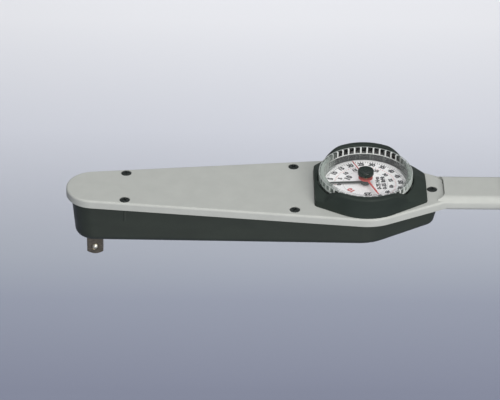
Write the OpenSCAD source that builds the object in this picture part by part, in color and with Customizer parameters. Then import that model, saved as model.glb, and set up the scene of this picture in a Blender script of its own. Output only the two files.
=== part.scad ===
// Dial torque wrench: a square drive turns in a slim closed case, a flexure beam resists it,
// and a long measuring arm with a toothed sector turns the pointer under a clear dial cover.
// X runs from the drive to the handle and Z points up. The origin is the centre of the end
// face of the drive square. All sizes are in millimetres and all angles in degrees.

/* [Square drive] */
// Width of the drive square across its flats
square_w = 9.525; // [8.5:0.005:10.5]
// Length of the drive square
square_len = 11; // [9:0.5:15]
// Round on the four long edges of the square
square_edge_r = 1.2; // [0.6:0.1:2]
// Height of the chamfer around the end of the square
square_tip = 1.6; // [0.5:0.1:2]
// Length of round collar that shows between the square and the case
collar_len = 3.2; // [3:0.2:8]
// Diameter of the collar and of the lower journal
journal_d = 13; // [12.8:0.1:14]
// Diameter of the detent ball
ball_d = 4; // [2.4:0.1:4.2]
// Height of the centre of the ball above the end of the square
ball_z = 5; // [4:0.1:6.5]
// How far the ball stands out of the flat of the square
ball_proud = 0.8; // [0.4:0.05:1]

/* [Body plan] */
// Radius of the deck around the drive axis
nose_r = 16.4; // [15.5:0.1:19]
// Distance from the drive axis to the dial axis
dial_x = 157.5; // [150:0.5:175]
// Radius of the two rounded shoulders beside the dial, beyond that of the clear cover
shoulder_lip = 0.65; // [-1:0.05:4]
// Distance of each shoulder centre from the centre line
shoulder_y = 5; // [4:0.5:7]
// Distance from the back of the guard to the centre of the round that ends the deck
tail_gap = 7.05; // [4.5:0.05:10.5]
// Thickness of the rim of the deck
plate_t = 4.9; // [4.4:0.1:6]
// Thickness of the deck inside its rim
deck_wall = 2.5; // [2:0.1:3]

/* [Case] */
// Depth of the case at the drive axis
case_depth = 25.2; // [22:0.1:27]
// Angle at which the underside of the case rises towards the handle
floor_angle = 3.78; // [3:0.02:4.2]
// Thickness of the case walls
case_wall = 2.2; // [1.8:0.1:2.6]
// Overhang of the deck around the nose of the case
nose_overhang = 3.2; // [2.5:0.1:3.6]
// Overhang of the deck along the sides of the case
side_overhang = 2.6; // [2:0.1:3.4]
// Distance from the back of the guard to the flat end of the case
case_end_gap = 5.85; // [3.5:0.05:7.5]
// Radius of the two corners at the end of the case
case_corner_r = 6.5; // [5:0.1:8]

/* [Case screws] */
// Diameter of the heads of the case screws
screw_head_d = 5.8; // [5:0.1:6.2]
// Height of the heads of the case screws
screw_head_h = 1.5; // [1.2:0.1:2]
// Diameter of the shanks of the case screws
screw_d = 2.4; // [2:0.1:2.6]
// Length of the shanks of the case screws
screw_len = 13; // [10:0.5:14]
// Depth of the counterbores in the deck
screw_sink = 1.2; // [0.6:0.1:1.5]
// Distance from the drive axis to the first pair of case screws
front_screw_x = 18.1; // [16:0.1:24]
// How far inside the outer face of the case the first pair of case screws lies
front_screw_inset = 1; // [0.7:0.05:1.8]
// Distance from the drive axis to the second pair of case screws
mid_screw_x = 116.2; // [108:0.1:120]
// How far inside the outer face of the case the second pair of case screws lies
mid_screw_inset = 3; // [2.4:0.1:3.8]
// Distance from the back of the guard to the single case screw near the neck
tail_screw_gap = 3.35; // [3.1:0.05:4.1]

/* [Handle] */
// Width of the neck
neck_w = 26.6; // [24:0.1:29]
// Thickness of the neck
neck_h = 9.2; // [8:0.1:11]
// Height of the top of the neck above the deck
neck_rise = 2.2; // [1:0.1:3]
// Radius of the long edges of the neck
neck_edge_r = 4.2; // [3:0.1:4.5]
// Distance from the end of the case to the step up onto the neck
neck_step = 4; // [3:0.1:6]
// Distance from the drive axis to the grip
grip_x = 240; // [232:1:250]
// Length of the grip
grip_len = 112; // [95:1:130]
// Width of the grip
grip_w = 31; // [28:0.5:36]
// Thickness of the grip
grip_h = 19; // [17:0.5:24]
// Distance from one groove around the grip to the next
groove_pitch = 7.2; // [5:0.1:10]
// Depth of the grooves around the grip
groove_depth = 0.8; // [0.4:0.1:1.2]
// Width of the tang inside the grip
tang_w = 20; // [16:0.5:22]
// Thickness of the tang inside the grip
tang_h = 8; // [7:0.1:9]
// Thickness of the cap on the end of the grip
cap_t = 5; // [3:0.5:8]

/* [Movement] */
// Turn of the square drive each way at full scale
full_turn = 2.6; // [2:0.1:3]
// Number of teeth on the pinion
pinion_teeth = 10; // [9:1:12]
// Number of teeth that the sector would have as a whole wheel
sector_whole_teeth = 1040; // [1000:10:1100]
// Height of the flexure beam
beam_h = 6.2; // [5:0.1:6.4]
// Thickness of the flexure beam
beam_t = 5; // [4:0.1:6]
// Distance from the drive axis to the yoke that holds the end of the beam
yoke_x = 72; // [60:1:76]
// Length of the yoke along the beam
yoke_w = 8; // [7:0.5:10]
// Thickness of the measuring arm
arm_t = 1.6; // [1.2:0.1:2]
// Width of the measuring arm at its eye
arm_root_w = 11; // [9:0.5:13]
// Width of the measuring arm near its sector
arm_end_w = 7; // [5:0.5:9]
// Thickness of the toothed sector
sector_t = 1.8; // [1.4:0.1:2.2]
// Diameter of the pointer arbor
arbor_d = 1.5; // [1.3:0.1:1.8]
// Diameter of the outermost turn of the hairspring
hairspring_d = 14; // [11:0.5:16]

/* [Dial] */
// Diameter of the clear cover over its ribs
cover_d = 54.7; // [52:0.1:55]
// Thickness of the wall of the clear cover
cover_wall = 2.4; // [1:0.1:2.6]
// Height of the rim of the clear cover above the deck
cover_h = 11.8; // [10.5:0.1:13]
// Depth of the window below the rim of the clear cover
window_sink = 2.2; // [1.2:0.1:2.4]
// Thickness of the window
window_t = 1.4; // [1:0.1:2]
// Number of grip ribs around the clear cover
rib_count = 44; // [36:1:60]
// Height of the grip ribs
rib_h = 4.2; // [3:0.1:5]
// Width of one grip rib
rib_w = 1; // [0.8:0.1:1.8]
// Height of the top of the dial face above the deck
dial_lift = 3.5; // [3:0.1:4]
// Length of the pointer from its axis to its tip
pointer_len = 22; // [18:0.5:23]
// Length of each arm of the memory pointer
memory_len = 19; // [14:0.5:22]
// Diameter of the memory knob
knob_d = 9.3; // [7:0.1:12]
// Height of the memory knob
knob_h = 3; // [2.4:0.1:5]

/* [Guard] */
// Height of the two crests of the guard above the deck
crest_h = 12.5; // [11:0.1:14]
// Half length of the level top of each crest
crest_half = 15; // [12:0.5:17]
// Half length of each crest down to the shoulders of the guard
crest_foot = 22.5; // [20:0.5:24]
// Height of the outer edge of the guard
guard_edge_h = 3.1; // [2:0.1:4]
// Height of the guard beside the clear cover
guard_inner_h = 6.6; // [5.5:0.1:7.5]
// How far the side of the guard that faces the drive stands beyond the clear cover
guard_front_lip = 2.5; // [2.3:0.1:4]
// How far the side of the guard that faces the handle stands beyond the clear cover
guard_back_lip = 8.3; // [7.5:0.1:9]
// Radius of the two broad rounds of the guard, beyond that of the clear cover
guard_side_lip = 0.4; // [0:0.1:1.6]

/* [Hidden] */
$fn = 64;

// Play of a shaft in its bush, on the radius
run_fit = 0.05;
// Gap between pieces that are fastened together
seat_gap = 0.05;
// Gap around anything that sweeps past another piece
clearance = 0.3;
// Overlap that makes a cut or a join clean
eps = 0.01;
// Longest stretch of an arc that is drawn as one straight side
arc_step = 6;
// How far a cut runs past the face that it opens
cut = 1;
// A box this long holds the whole wrench
reach = 500;

// Levels, from the drive square upwards
case_z = square_len + collar_len;
rim_z = case_z + case_depth;
deck_z = rim_z + plate_t;
roof_z = deck_z - deck_wall;

// Drive stack
journal_r = journal_d / 2;
bush_wall = 2;
bush_r = journal_r + bush_wall;
bush_flange_t = 1;
bush_flange_r = bush_r + 1.3;
bush_boss_r = bush_flange_r + 0.6;
bush_boss_h = case_wall + 1;
seal_t = 1.1;
washer_t = 0.6;
washer_z = case_z + bush_boss_h + bush_flange_t + seat_gap;
spindle_flange_z = washer_z + washer_t + seat_gap;
spindle_flange_r = journal_r + 2.9;
spindle_flange_t = 4.4;
shank_w = 9;
shank_edge_r = 0.5;
shank_hole_w = shank_w + 2 * seat_gap;
beam_z = spindle_flange_z + spindle_flange_t;
spacer_z = beam_z + beam_h;
spacer_t = 1.2;
arm_z = spacer_z + spacer_t;
nut_z = arm_z + arm_t;
nut_t = 2.4;
nut_w = 13;
head_journal_r = 4;
head_bush_wall = 2;
head_bush_r = head_journal_r + head_bush_wall;
head_boss_r = head_bush_r + 2.2;
head_bush_z = nut_z + nut_t + clearance;
eye_r = spindle_flange_r;
tip_r = square_w / 2 - 0.3;
tip_spread = 2;

// Ball and its spring in the drive square
ball_r = ball_d / 2;
ball_y = -square_w / 2 - ball_proud + ball_r;
ball_bore_r = ball_r + 0.04;
ball_mouth_r = ball_r - 0.05;
ball_mouth_t = 0.25;
ball_bore_end_y = -square_w / 2 + ball_mouth_t + square_w * 0.75;
detent_gap = 0.3;
detent_wire_r = 0.2;
detent_coil_r = ball_r - 0.35;
detent_start_y = ball_y + ball_r + detent_gap;
detent_turns = 4;
detent_rings = 48;
detent_sides = 6;

// Clear cover, which sets the sizes of what stands around it
cover_r = cover_d / 2;
guard_front = cover_r + guard_front_lip;
guard_back = cover_r + guard_back_lip;
guard_round_r = cover_r + guard_side_lip;
shoulder_r = cover_r + shoulder_lip;
tail_reach = guard_back + tail_gap;
case_end = guard_back + case_end_gap;
tail_screw_reach = guard_back + tail_screw_gap;

// Plan of the deck and of the case, as circles [x, y, radius]
neck_y = neck_w / 2;
tail_x = dial_x + tail_reach;
case_end_x = dial_x + case_end;
case_corner_x = case_end_x - case_corner_r;
case_corner_y = 8;
deck_circles = [
    [0, 0, nose_r], [dial_x, -shoulder_y, shoulder_r],
    [tail_x, 0, neck_y], [dial_x, shoulder_y, shoulder_r]
];

// Handle
neck_z = deck_z + neck_rise - neck_h / 2;
neck_x = case_end_x + clearance;
neck_step_x = case_end_x + neck_step;
step_corner_r = 4;
step_w = neck_w - 2.6;
step_len = neck_step_x - neck_x + 2 * step_corner_r;
grip_edge_r = 8;
grip_wall = 2.5;
groove_w = groove_pitch * 0.4;
groove_margin = 12;
tang_edge_r = 3;
tang_end_x = grip_x + grip_len;
grip_lip = 6;
grip_end_x = tang_end_x + grip_lip;
cap_brim = 0.5;
cap_web = 0.5;
cap_screw_d = 4;
cap_screw_len = 16;
cap_screw_r = cap_screw_d / 2;
cap_screw_head_r = 3.6;
cap_screw_head_h = 2.2;
cap_screw_x = grip_end_x + cap_t - cap_screw_head_h - 0.3;

// Movement
ratio = sector_whole_teeth / pinion_teeth;
module_mm = 2 * dial_x / (sector_whole_teeth + pinion_teeth);
sector_r = module_mm * sector_whole_teeth / 2;
pinion_r = module_mm * pinion_teeth / 2;
pressure_angle = 20;
backlash = 0.08;
sector_tip = 0.17 / 0.3 * module_mm;
sector_root = 0.4 / 0.3 * module_mm;
pinion_tip = module_mm;
pinion_root = 0.4 / 0.3 * module_mm;
tooth_pitch = 360 / sector_whole_teeth;
sector_side_teeth = ceil(full_turn / tooth_pitch) + 2;
sector_band = 12;
sector_end_x = sector_r - sector_band;
sector_half_w = 6;
arm_end_x = sector_r - 4;
arm_neck_x = sector_end_x - 6;
rivet_x = sector_r - 8;
rivet_y = 3.5;
rivet_r = 0.8;
rivet_head_r = 1.4;
rivet_head_h = 0.4;
sector_z = nut_z;
pinion_z = sector_z - 0.4;
pinion_h = sector_t + 0.8;
arbor_r = arbor_d / 2;
pivot_r = arbor_r - 0.15;
bridge_t = 1.4;
bridge_z = arm_z - 0.6 - bridge_t;
bridge_w = 10;
bridge_end_r = 4;
pivot_bush_r = 2;
arbor_shoulder_z = bridge_z + bridge_t + 0.15;
pillar_r = 2.6;
sweep_angle = full_turn + (sector_side_teeth + 1) * tooth_pitch;
pillar_y = sector_r * sin(sweep_angle) + pillar_r + 1;
pillar_x = dial_x + 2;
hairspring_h = 0.6;
hairspring_wire = 0.25;
hairspring_turns = 4.5;
hairspring_z = pinion_z + pinion_h + 0.5;
collet_r = 1.6;
collet_rim = 0.3;
hairspring_r = hairspring_d / 2;
stud_r = 0.8;
stud_sink = deck_wall / 2;
pointer_bush_z = hairspring_z + hairspring_h + 0.7;
pointer_bush_r = 3;
pointer_bush_flange_r = pointer_bush_r + 1.4;
pointer_bush_flange_t = 0.8;
yoke_boss_r = 3.2;
arm_sweep_y = arm_root_w / 2 + (yoke_x + yoke_w / 2) * sin(full_turn);
yoke_screw_y = arm_sweep_y + clearance + yoke_boss_r;
yoke_half = yoke_screw_y + yoke_boss_r + 0.6;
yoke_top = arm_z - 0.5;
yoke_z = floor_z(yoke_x + yoke_w / 2) + case_wall + clearance;
yoke_sink = 1.6;

// Small machine screws inside
small_screw_r = 1;
small_head_r = 1.9;
small_head_h = 1.3;
small_screw_play = 0.1;
yoke_screw_len = 11;
bridge_screw_len = 5;
guard_screw_len = 4.5;

// Case screws
screw_r = screw_d / 2;
screw_head_r = screw_head_d / 2;
screw_play = 0.2;
screw_boss_r = screw_head_r + 1.2;
case_boss_r = screw_r + 1;
case_boss_z = rim_z + plate_t - screw_len - 3;
case_pilot_z = case_boss_z + 1;

// Cross slot of a screw, as shares of its head
slot_len = 0.6;
slot_w = 0.11;
slot_floor = 0.45;
slot_angle = 30;

// Dial
rib_depth = 0.85;
rib_root = 0.5;
cover_wall_r = cover_r - rib_depth;
cover_bore_r = cover_wall_r - cover_wall;
dial_seat_r = cover_wall_r - 0.7;
felt_t = 0.5;
cover_z = deck_z + felt_t;
cover_flange_r = cover_r + 0.7;
cover_flange_t = 1.2;
cover_top = deck_z + cover_h;
window_top = cover_top - window_sink;
window_z = window_top - window_t;
dial_top = deck_z + dial_lift;
dial_t = 0.8;
dial_r = dial_seat_r - 0.1;
ring_t = 1;
ring_w = 1.8;
dial_hole_r = arbor_r + 0.8;
pointer_z = dial_top + 0.6;
pointer_hub_r = 2.5;
pointer_hub_h = 1.8;
pointer_hub_top = 0.5;
needle_lift = 0.3;
needle_point = 3;
needle_point_w = 0.3;
pointer_rest = 185;
needle_t = 0.4;
needle_w = 1.1;
needle_neck_w = 0.77;
knob_bush_r = 2.4;
memory_spindle_r = 1.2;
memory_hub_r = 4.5;
memory_hub_t = 0.6;
memory_z = window_z - 0.2 - memory_hub_t;
memory_w = 1.8;
memory_tail_w = 0.7;
memory_point = 4;
memory_point_w = 0.4;
memory_rest = -68.5;
knob_washer_t = 0.3;
knob_z = window_top + knob_washer_t;
knob_r = knob_d / 2;
knob_washer_r = knob_r * 0.7;
knob_edge = 0.5;
knob_edge_h = knob_h * 0.2;

// Guard
guard_bore_r = cover_r + 0.4;
guard_shoulder_r = guard_bore_r + 1.2;
guard_foot_r = guard_shoulder_r
    + (guard_back - guard_shoulder_r) * guard_inner_h / (guard_inner_h - guard_edge_h);
guard_recess_r = cover_flange_r + clearance;
guard_recess_h = felt_t + cover_flange_t + 0.2;
guard_corner_r = 3;
guard_front_inset = 9.95;
guard_back_inset = 14.85;
guard_front_y = cover_r - guard_front_inset;
guard_back_y = cover_r - guard_back_inset;
guard_round_y = 4.3;
front_pilot_wall = 2.3;
back_pilot_wall = 3.15;
front_pilot_angle = 146;
back_pilot_angle = 17;
guard_pilot_z = roof_z + guard_screw_len + 0.3;
crest_round = 0.4;
crest_drop = 1.6;
guard_circles = [
    [dial_x - guard_front + guard_corner_r, guard_front_y, guard_corner_r],
    [dial_x - guard_front + guard_corner_r, -guard_front_y, guard_corner_r],
    [dial_x, -guard_round_y, guard_round_r],
    [dial_x + guard_back - guard_corner_r, -guard_back_y, guard_corner_r],
    [dial_x + guard_back - guard_corner_r, guard_back_y, guard_corner_r],
    [dial_x, guard_round_y, guard_round_r]
];
guard_screw_spots = [
    for (side = [-1, 1])
        each [
            [dial_x, 0] + polar(guard_bore_r + front_pilot_wall, side * front_pilot_angle),
            [dial_x, 0] + polar(guard_bore_r + back_pilot_wall, side * back_pilot_angle)
        ]
];
case_screw_spots = [
    for (side = [-1, 1])
        each [
            [front_screw_x, side * (case_side_y(front_screw_x) - front_screw_inset)],
            [mid_screw_x, side * (case_side_y(mid_screw_x) - mid_screw_inset)]
        ],
    [dial_x + tail_screw_reach, 0]
];

// ---------- shared shapes ----------

// Direction of the outward normal of the straight side that leaves circle a for circle b
function side_normal(a, b) =
    atan2(b[1] - a[1], b[0] - a[0])
    - acos((a[2] - b[2]) / norm([b[0] - a[0], b[1] - a[1]]));

// Outline stretched around circles listed anticlockwise
function outline(circles) = let (n = len(circles)) [
    for (i = [0 : n - 1])
        let (
            c = circles[i],
            from = side_normal(circles[(i + n - 1) % n], c),
            turn = ((side_normal(c, circles[(i + 1) % n]) - from) % 360 + 360) % 360,
            steps = max(1, ceil(turn / arc_step))
        )
        for (k = [0 : steps])
            let (t = from + turn * k / steps)
            [c[0] + c[2] * cos(t), c[1] + c[2] * sin(t)]
];

// Point at a radius and an angle
function polar(r, a) = [r * cos(a), r * sin(a)];

// Distance of the outer face of the case from the centre line at x
function case_side_y(x) =
    let (
        nose = case_circles(0)[0],
        shoulder = case_circles(0)[4],
        a = side_normal(shoulder, nose)
    )
    (nose[2] - x * cos(a)) / sin(a);

// Height of the underside of the case at x
function floor_z(x) = case_z + x * tan(floor_angle);

// Circles of the case, drawn in from its outer face by inset
function case_circles(inset) = [
    [0, 0, nose_r - nose_overhang - inset],
    [dial_x, -shoulder_y, shoulder_r - side_overhang - inset],
    [case_corner_x, -case_corner_y, case_corner_r - inset],
    [case_corner_x, case_corner_y, case_corner_r - inset],
    [dial_x, shoulder_y, shoulder_r - side_overhang - inset]
];

// Circles of a rectangle with round corners, around the origin
function rounded(w, h, r) = [
    [-w / 2 + r, -h / 2 + r, r], [w / 2 - r, -h / 2 + r, r],
    [w / 2 - r, h / 2 - r, r], [-w / 2 + r, h / 2 - r, r]
];

// Upright prism of an outline between two levels
module prism(circles, from, to)
    translate([0, 0, from]) linear_extrude(to - from) polygon(outline(circles));

// Bar along X with round edges
module bar(from, to, z, w, h, r)
    translate([from, 0, z]) rotate([90, 0, 90])
        linear_extrude(to - from) polygon(outline(rounded(w, h, r)));

// Upright cylinder between two levels
module post(x, y, from, to, r)
    translate([x, y, from]) cylinder(h = to - from, r = r);

// Upright ring between two levels
module ring(x, y, from, to, outer, inner)
    difference() {
        post(x, y, from, to, outer);
        post(x, y, from - eps, to + eps, inner);
    }

// Bore along X between two places
module x_bore(from, to, z, r)
    translate([from, 0, z]) rotate([0, 90, 0]) cylinder(h = to - from, r = r);

// Square hole for the shank of the spindle, through a piece between two levels
module shank_hole(from, to)
    prism(rounded(shank_hole_w, shank_hole_w, shank_edge_r), from - cut, to + cut);

// Everything below the sloping floor of the case, raised by lift
module below_floor(lift)
    translate([0, 0, case_z + lift]) rotate([0, -floor_angle, 0])
        translate([-reach, -reach / 2, -reach]) cube([2 * reach, reach, reach]);

// Screw that points down from the seat of its head at the origin
module screw(shank_r, length, head_r, head_h)
    difference() {
        union() {
            cylinder(h = head_h, r = head_r);
            translate([0, 0, -length]) cylinder(h = length + eps, r = shank_r);
        }
        for (turn = [0, 90])
            rotate([0, 0, turn + slot_angle])
                translate([-head_r * slot_len, -head_r * slot_w, head_h * slot_floor])
                    cube([2 * head_r * slot_len, 2 * head_r * slot_w, head_h]);
    }

// Small screw that points up from the seat of its head at the origin
module screw_up(length)
    mirror([0, 0, 1]) screw(small_screw_r, length, small_head_r, small_head_h);

// Thin-walled helix along Z, a round wire swept with flat sides
function helix_points(radius, height, turns, wire_r, rings, sides) = [
    for (i = [0 : rings], k = [0 : sides - 1])
        let (
            a = 360 * turns * i / rings,
            b = 360 * k / sides,
            r = radius + wire_r * cos(b)
        )
        [r * cos(a), r * sin(a), height * i / rings + wire_r * sin(b)]
];

module helix(radius, height, turns, wire_r, rings, sides)
    polyhedron(
        points = helix_points(radius, height, turns, wire_r, rings, sides),
        faces = concat(
            [[for (k = [0 : sides - 1]) k]],
            [for (i = [0 : rings - 1], k = [0 : sides - 1])
                let (a = i * sides + k, b = i * sides + (k + 1) % sides)
                [a, a + sides, b + sides, b]],
            [[for (k = [sides - 1 : -1 : 0]) rings * sides + k]]
        )
    );

// ---------- body and handle ----------

// Cast deck with its neck and the tang that carries the grip
module upper_body() color([0.69, 0.7, 0.68])
    difference() {
        union() {
            difference() {
                prism(deck_circles, rim_z, deck_z);
                difference() {
                    prism(case_circles(case_wall + seat_gap), rim_z - eps, roof_z);
                    for (p = case_screw_spots)
                        post(p[0], p[1], rim_z - cut, deck_z, screw_boss_r);
                }
            }
            post(0, 0, head_bush_z, roof_z + eps, head_boss_r);
            for (side = [-1, 1]) {
                post(yoke_x, side * yoke_screw_y, yoke_top, roof_z + eps, yoke_boss_r);
                post(pillar_x, side * pillar_y, bridge_z + bridge_t, roof_z + eps, pillar_r);
            }
            difference() {
                bar(neck_x, grip_x, neck_z, neck_w, neck_h, neck_edge_r);
                translate([neck_step_x - step_len / 2, 0, 0])
                    prism(rounded(step_len, step_w, step_corner_r),
                        deck_z, deck_z + neck_rise + cut);
            }
            bar(grip_x - eps, tang_end_x, neck_z, tang_w, tang_h, tang_edge_r);
        }
        post(0, 0, head_bush_z - eps, roof_z, head_bush_r + seat_gap / 2);
        post(dial_x, 0, rim_z, deck_z + eps, pointer_bush_r + seat_gap / 2);
        for (p = case_screw_spots) {
            post(p[0], p[1], rim_z - cut, deck_z + eps, screw_r + screw_play);
            post(p[0], p[1], deck_z - screw_sink, deck_z + eps, screw_head_r + screw_play);
        }
        for (p = guard_screw_spots)
            post(p[0], p[1], roof_z - eps, deck_z + eps, small_screw_r + small_screw_play);
        for (side = [-1, 1]) {
            post(yoke_x, side * yoke_screw_y, yoke_top - eps, roof_z, small_screw_r + seat_gap);
            post(pillar_x, side * pillar_y, bridge_z, roof_z, small_screw_r + seat_gap);
        }
        post(dial_x + hairspring_r, 0, roof_z - eps, roof_z + stud_sink, stud_r + seat_gap);
        x_bore(tang_end_x - cap_screw_len, tang_end_x + cut, neck_z, cap_screw_r + seat_gap);
    }

// Moulded case that closes the mechanism from below
module lower_case() color([0.2, 0.22, 0.21])
    difference() {
        union() {
            difference() {
                prism(case_circles(0), 0, rim_z);
                below_floor(0);
                difference() {
                    prism(case_circles(case_wall), -cut, rim_z + eps);
                    below_floor(case_wall);
                }
            }
            post(0, 0, case_z + case_wall / 2, case_z + bush_boss_h, bush_boss_r);
            for (p = case_screw_spots)
                difference() {
                    post(p[0], p[1], case_boss_z, rim_z, case_boss_r);
                    below_floor(case_wall / 2);
                }
        }
        post(0, 0, 0, rim_z, bush_r + seat_gap / 2);
        for (p = case_screw_spots)
            post(p[0], p[1], case_pilot_z, rim_z + eps, screw_r + seat_gap);
    }

// Five screws that hold the case to the deck
module case_screws() color([0.12, 0.12, 0.12])
    for (p = case_screw_spots)
        translate([p[0], p[1], deck_z - screw_sink])
            screw(screw_r, screw_len - screw_sink, screw_head_r, screw_head_h);

// Side view of the crests of the guard
crest_knee = crest_half + (crest_foot - crest_half) * crest_round;
crest_base = crest_foot + 4;
crest_points = [
    [-crest_base, 0], [crest_base, 0], [crest_foot, guard_inner_h],
    [crest_knee, crest_h - crest_drop], [crest_half, crest_h],
    [-crest_half, crest_h], [-crest_knee, crest_h - crest_drop],
    [-crest_foot, guard_inner_h]
];

// Moulded guard that shields the clear cover and keeps its flange down
module dial_guard() color([0.17, 0.19, 0.18])
    difference() {
        union() {
            intersection() {
                prism(guard_circles, deck_z, deck_z + guard_inner_h);
                translate([dial_x, 0, deck_z])
                    cylinder(h = guard_inner_h, r1 = guard_foot_r, r2 = guard_shoulder_r);
            }
            intersection() {
                prism(guard_circles, deck_z, deck_z + crest_h + cut);
                translate([dial_x, reach / 2, deck_z]) rotate([90, 0, 0])
                    linear_extrude(reach) polygon(crest_points);
            }
        }
        post(dial_x, 0, deck_z - cut, deck_z + crest_h + cut, guard_bore_r);
        post(dial_x, 0, deck_z - cut, deck_z + guard_recess_h, guard_recess_r);
        for (p = guard_screw_spots)
            post(p[0], p[1], deck_z - cut, guard_pilot_z, small_screw_r + seat_gap);
    }

// Four screws that hold the guard from inside the deck
module guard_screws() color([0.5, 0.5, 0.5])
    for (p = guard_screw_spots)
        translate([p[0], p[1], roof_z]) screw_up(guard_screw_len);

// Groove around the grip that starts at x
module grip_groove(x)
    difference() {
        bar(x, x + groove_w, neck_z, grip_w + 2 * cut, grip_h + 2 * cut, grip_edge_r + cut);
        bar(x - cut, x + groove_w + cut, neck_z,
            grip_w - 2 * groove_depth, grip_h - 2 * groove_depth, grip_edge_r - groove_depth);
    }

// Soft grip pushed over the tang
module handle_grip() color([0.1, 0.1, 0.1])
    difference() {
        bar(grip_x + seat_gap, grip_end_x, neck_z, grip_w, grip_h, grip_edge_r);
        for (x = [grip_x + groove_margin : groove_pitch : tang_end_x - groove_margin])
            grip_groove(x);
        bar(grip_x - cut, tang_end_x + seat_gap, neck_z,
            tang_w + 2 * seat_gap, tang_h + 2 * seat_gap, tang_edge_r);
        bar(tang_end_x, grip_end_x + cut, neck_z,
            grip_w - 2 * grip_wall, grip_h - 2 * grip_wall, grip_edge_r - grip_wall);
    }

// Block of the end cap, narrower than the grip by side all round
module cap_block(from, to, side)
    bar(from, to, neck_z, grip_w - 2 * side, grip_h - 2 * side, grip_edge_r - side);

// Cap that closes the open end of the grip
module grip_end_cap() color([0.15, 0.15, 0.15])
    difference() {
        union() {
            cap_block(tang_end_x + 2 * seat_gap, grip_end_x, grip_wall + seat_gap);
            cap_block(grip_end_x - cut, grip_end_x + cut, grip_wall + cap_web);
            cap_block(grip_end_x + seat_gap, grip_end_x + cap_t, cap_brim);
        }
        x_bore(tang_end_x, grip_end_x + cap_t + cut, neck_z, cap_screw_r + screw_play / 2);
        x_bore(cap_screw_x, grip_end_x + cap_t + cut, neck_z, cap_screw_head_r + screw_play);
    }

// Screw that holds the cap to the tang
module grip_end_screw() color([0.6, 0.6, 0.6])
    translate([cap_screw_x, 0, neck_z]) rotate([0, 90, 0])
        screw(cap_screw_r, cap_screw_len + grip_lip, cap_screw_head_r, cap_screw_head_h);

// ---------- drive ----------

// Flanged bush in the floor of the case
module drive_bush() color([0.72, 0.53, 0.3])
    difference() {
        union() {
            post(0, 0, case_z + seal_t + seat_gap, case_z + bush_boss_h + eps, bush_r);
            post(0, 0, case_z + bush_boss_h, case_z + bush_boss_h + bush_flange_t, bush_flange_r);
        }
        post(0, 0, case_z, case_z + bush_boss_h + bush_flange_t + cut, journal_r + run_fit);
    }

// Rubber ring that keeps dirt out of the bush
module dust_seal() color([0.08, 0.08, 0.08])
    ring(0, 0, case_z, case_z + seal_t, bush_r, journal_r + run_fit);

// Washer under the flange of the spindle
module thrust_washer() color([0.75, 0.7, 0.55])
    ring(0, 0, washer_z, washer_z + washer_t, spindle_flange_r, journal_r + 2 * run_fit);

// Bush in the deck for the top journal of the spindle
module head_bush() color([0.72, 0.53, 0.3])
    ring(0, 0, head_bush_z, roof_z, head_bush_r, head_journal_r + run_fit);

// Drive square, journals, flange and square shank in one piece
module drive_spindle() color([0.62, 0.58, 0.52])
    difference() {
        union() {
            intersection() {
                prism(rounded(square_w, square_w, square_edge_r), 0, square_len + eps);
                union() {
                    cylinder(h = square_tip + eps, r1 = tip_r, r2 = tip_r + tip_spread);
                    post(0, 0, square_tip, square_len + eps, square_w);
                }
            }
            post(0, 0, square_len, spindle_flange_z + eps, journal_r);
            post(0, 0, spindle_flange_z, beam_z, spindle_flange_r);
            prism(rounded(shank_w, shank_w, shank_edge_r), beam_z - eps, nut_z);
            post(0, 0, nut_z - eps, roof_z - clearance, head_journal_r);
        }
        translate([0, -square_w / 2 - cut, ball_z]) rotate([-90, 0, 0])
            cylinder(h = ball_mouth_t + 2 * cut, r = ball_mouth_r);
        translate([0, -square_w / 2 + ball_mouth_t, ball_z]) rotate([-90, 0, 0])
            cylinder(h = ball_bore_end_y + square_w / 2 - ball_mouth_t, r = ball_bore_r);
    }

// Beam that bends when the drive turns; its eye sits on the square shank
module flexure_beam() color([0.45, 0.46, 0.48])
    difference() {
        union() {
            post(0, 0, beam_z, beam_z + beam_h, eye_r);
            translate([0, -beam_t / 2, beam_z]) cube([yoke_x + yoke_w / 2, beam_t, beam_h]);
        }
        shank_hole(beam_z, beam_z + beam_h);
    }

// Spacer between the beam and the measuring arm
module arm_spacer() color([0.6, 0.6, 0.6])
    difference() {
        post(0, 0, spacer_z, spacer_z + spacer_t, eye_r);
        shank_hole(spacer_z, spacer_z + spacer_t);
    }

// Long light arm that carries the toothed sector
module measuring_arm() color([0.55, 0.57, 0.6])
    difference() {
        union() {
            post(0, 0, arm_z, arm_z + arm_t, eye_r);
            translate([0, 0, arm_z]) linear_extrude(arm_t)
                polygon([
                    [0, -arm_root_w / 2], [arm_neck_x, -arm_end_w / 2],
                    [sector_end_x, -sector_half_w], [arm_end_x, -sector_half_w],
                    [arm_end_x, sector_half_w], [sector_end_x, sector_half_w],
                    [arm_neck_x, arm_end_w / 2], [0, arm_root_w / 2]
                ]);
        }
        shank_hole(arm_z, arm_z + arm_t);
        for (side = [-1, 1])
            post(rivet_x, side * rivet_y, arm_z - cut, arm_z + arm_t + cut, rivet_r + seat_gap);
    }

// Half of the angle that a sector tooth spans at a height above the pitch circle
function sector_half(height) =
    tooth_pitch / 4
    - (backlash / 2 + height * tan(pressure_angle)) / sector_r * 180 / PI;

sector_points = concat(
    [for (i = [-sector_side_teeth : sector_side_teeth])
        each let (a = i * tooth_pitch) [
            polar(sector_r - sector_root, a - sector_half(-sector_root)),
            polar(sector_r + sector_tip, a - sector_half(sector_tip)),
            polar(sector_r + sector_tip, a + sector_half(sector_tip)),
            polar(sector_r - sector_root, a + sector_half(-sector_root))
        ]],
    [[sector_end_x, sector_half_w], [sector_end_x, -sector_half_w]]
);

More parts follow.
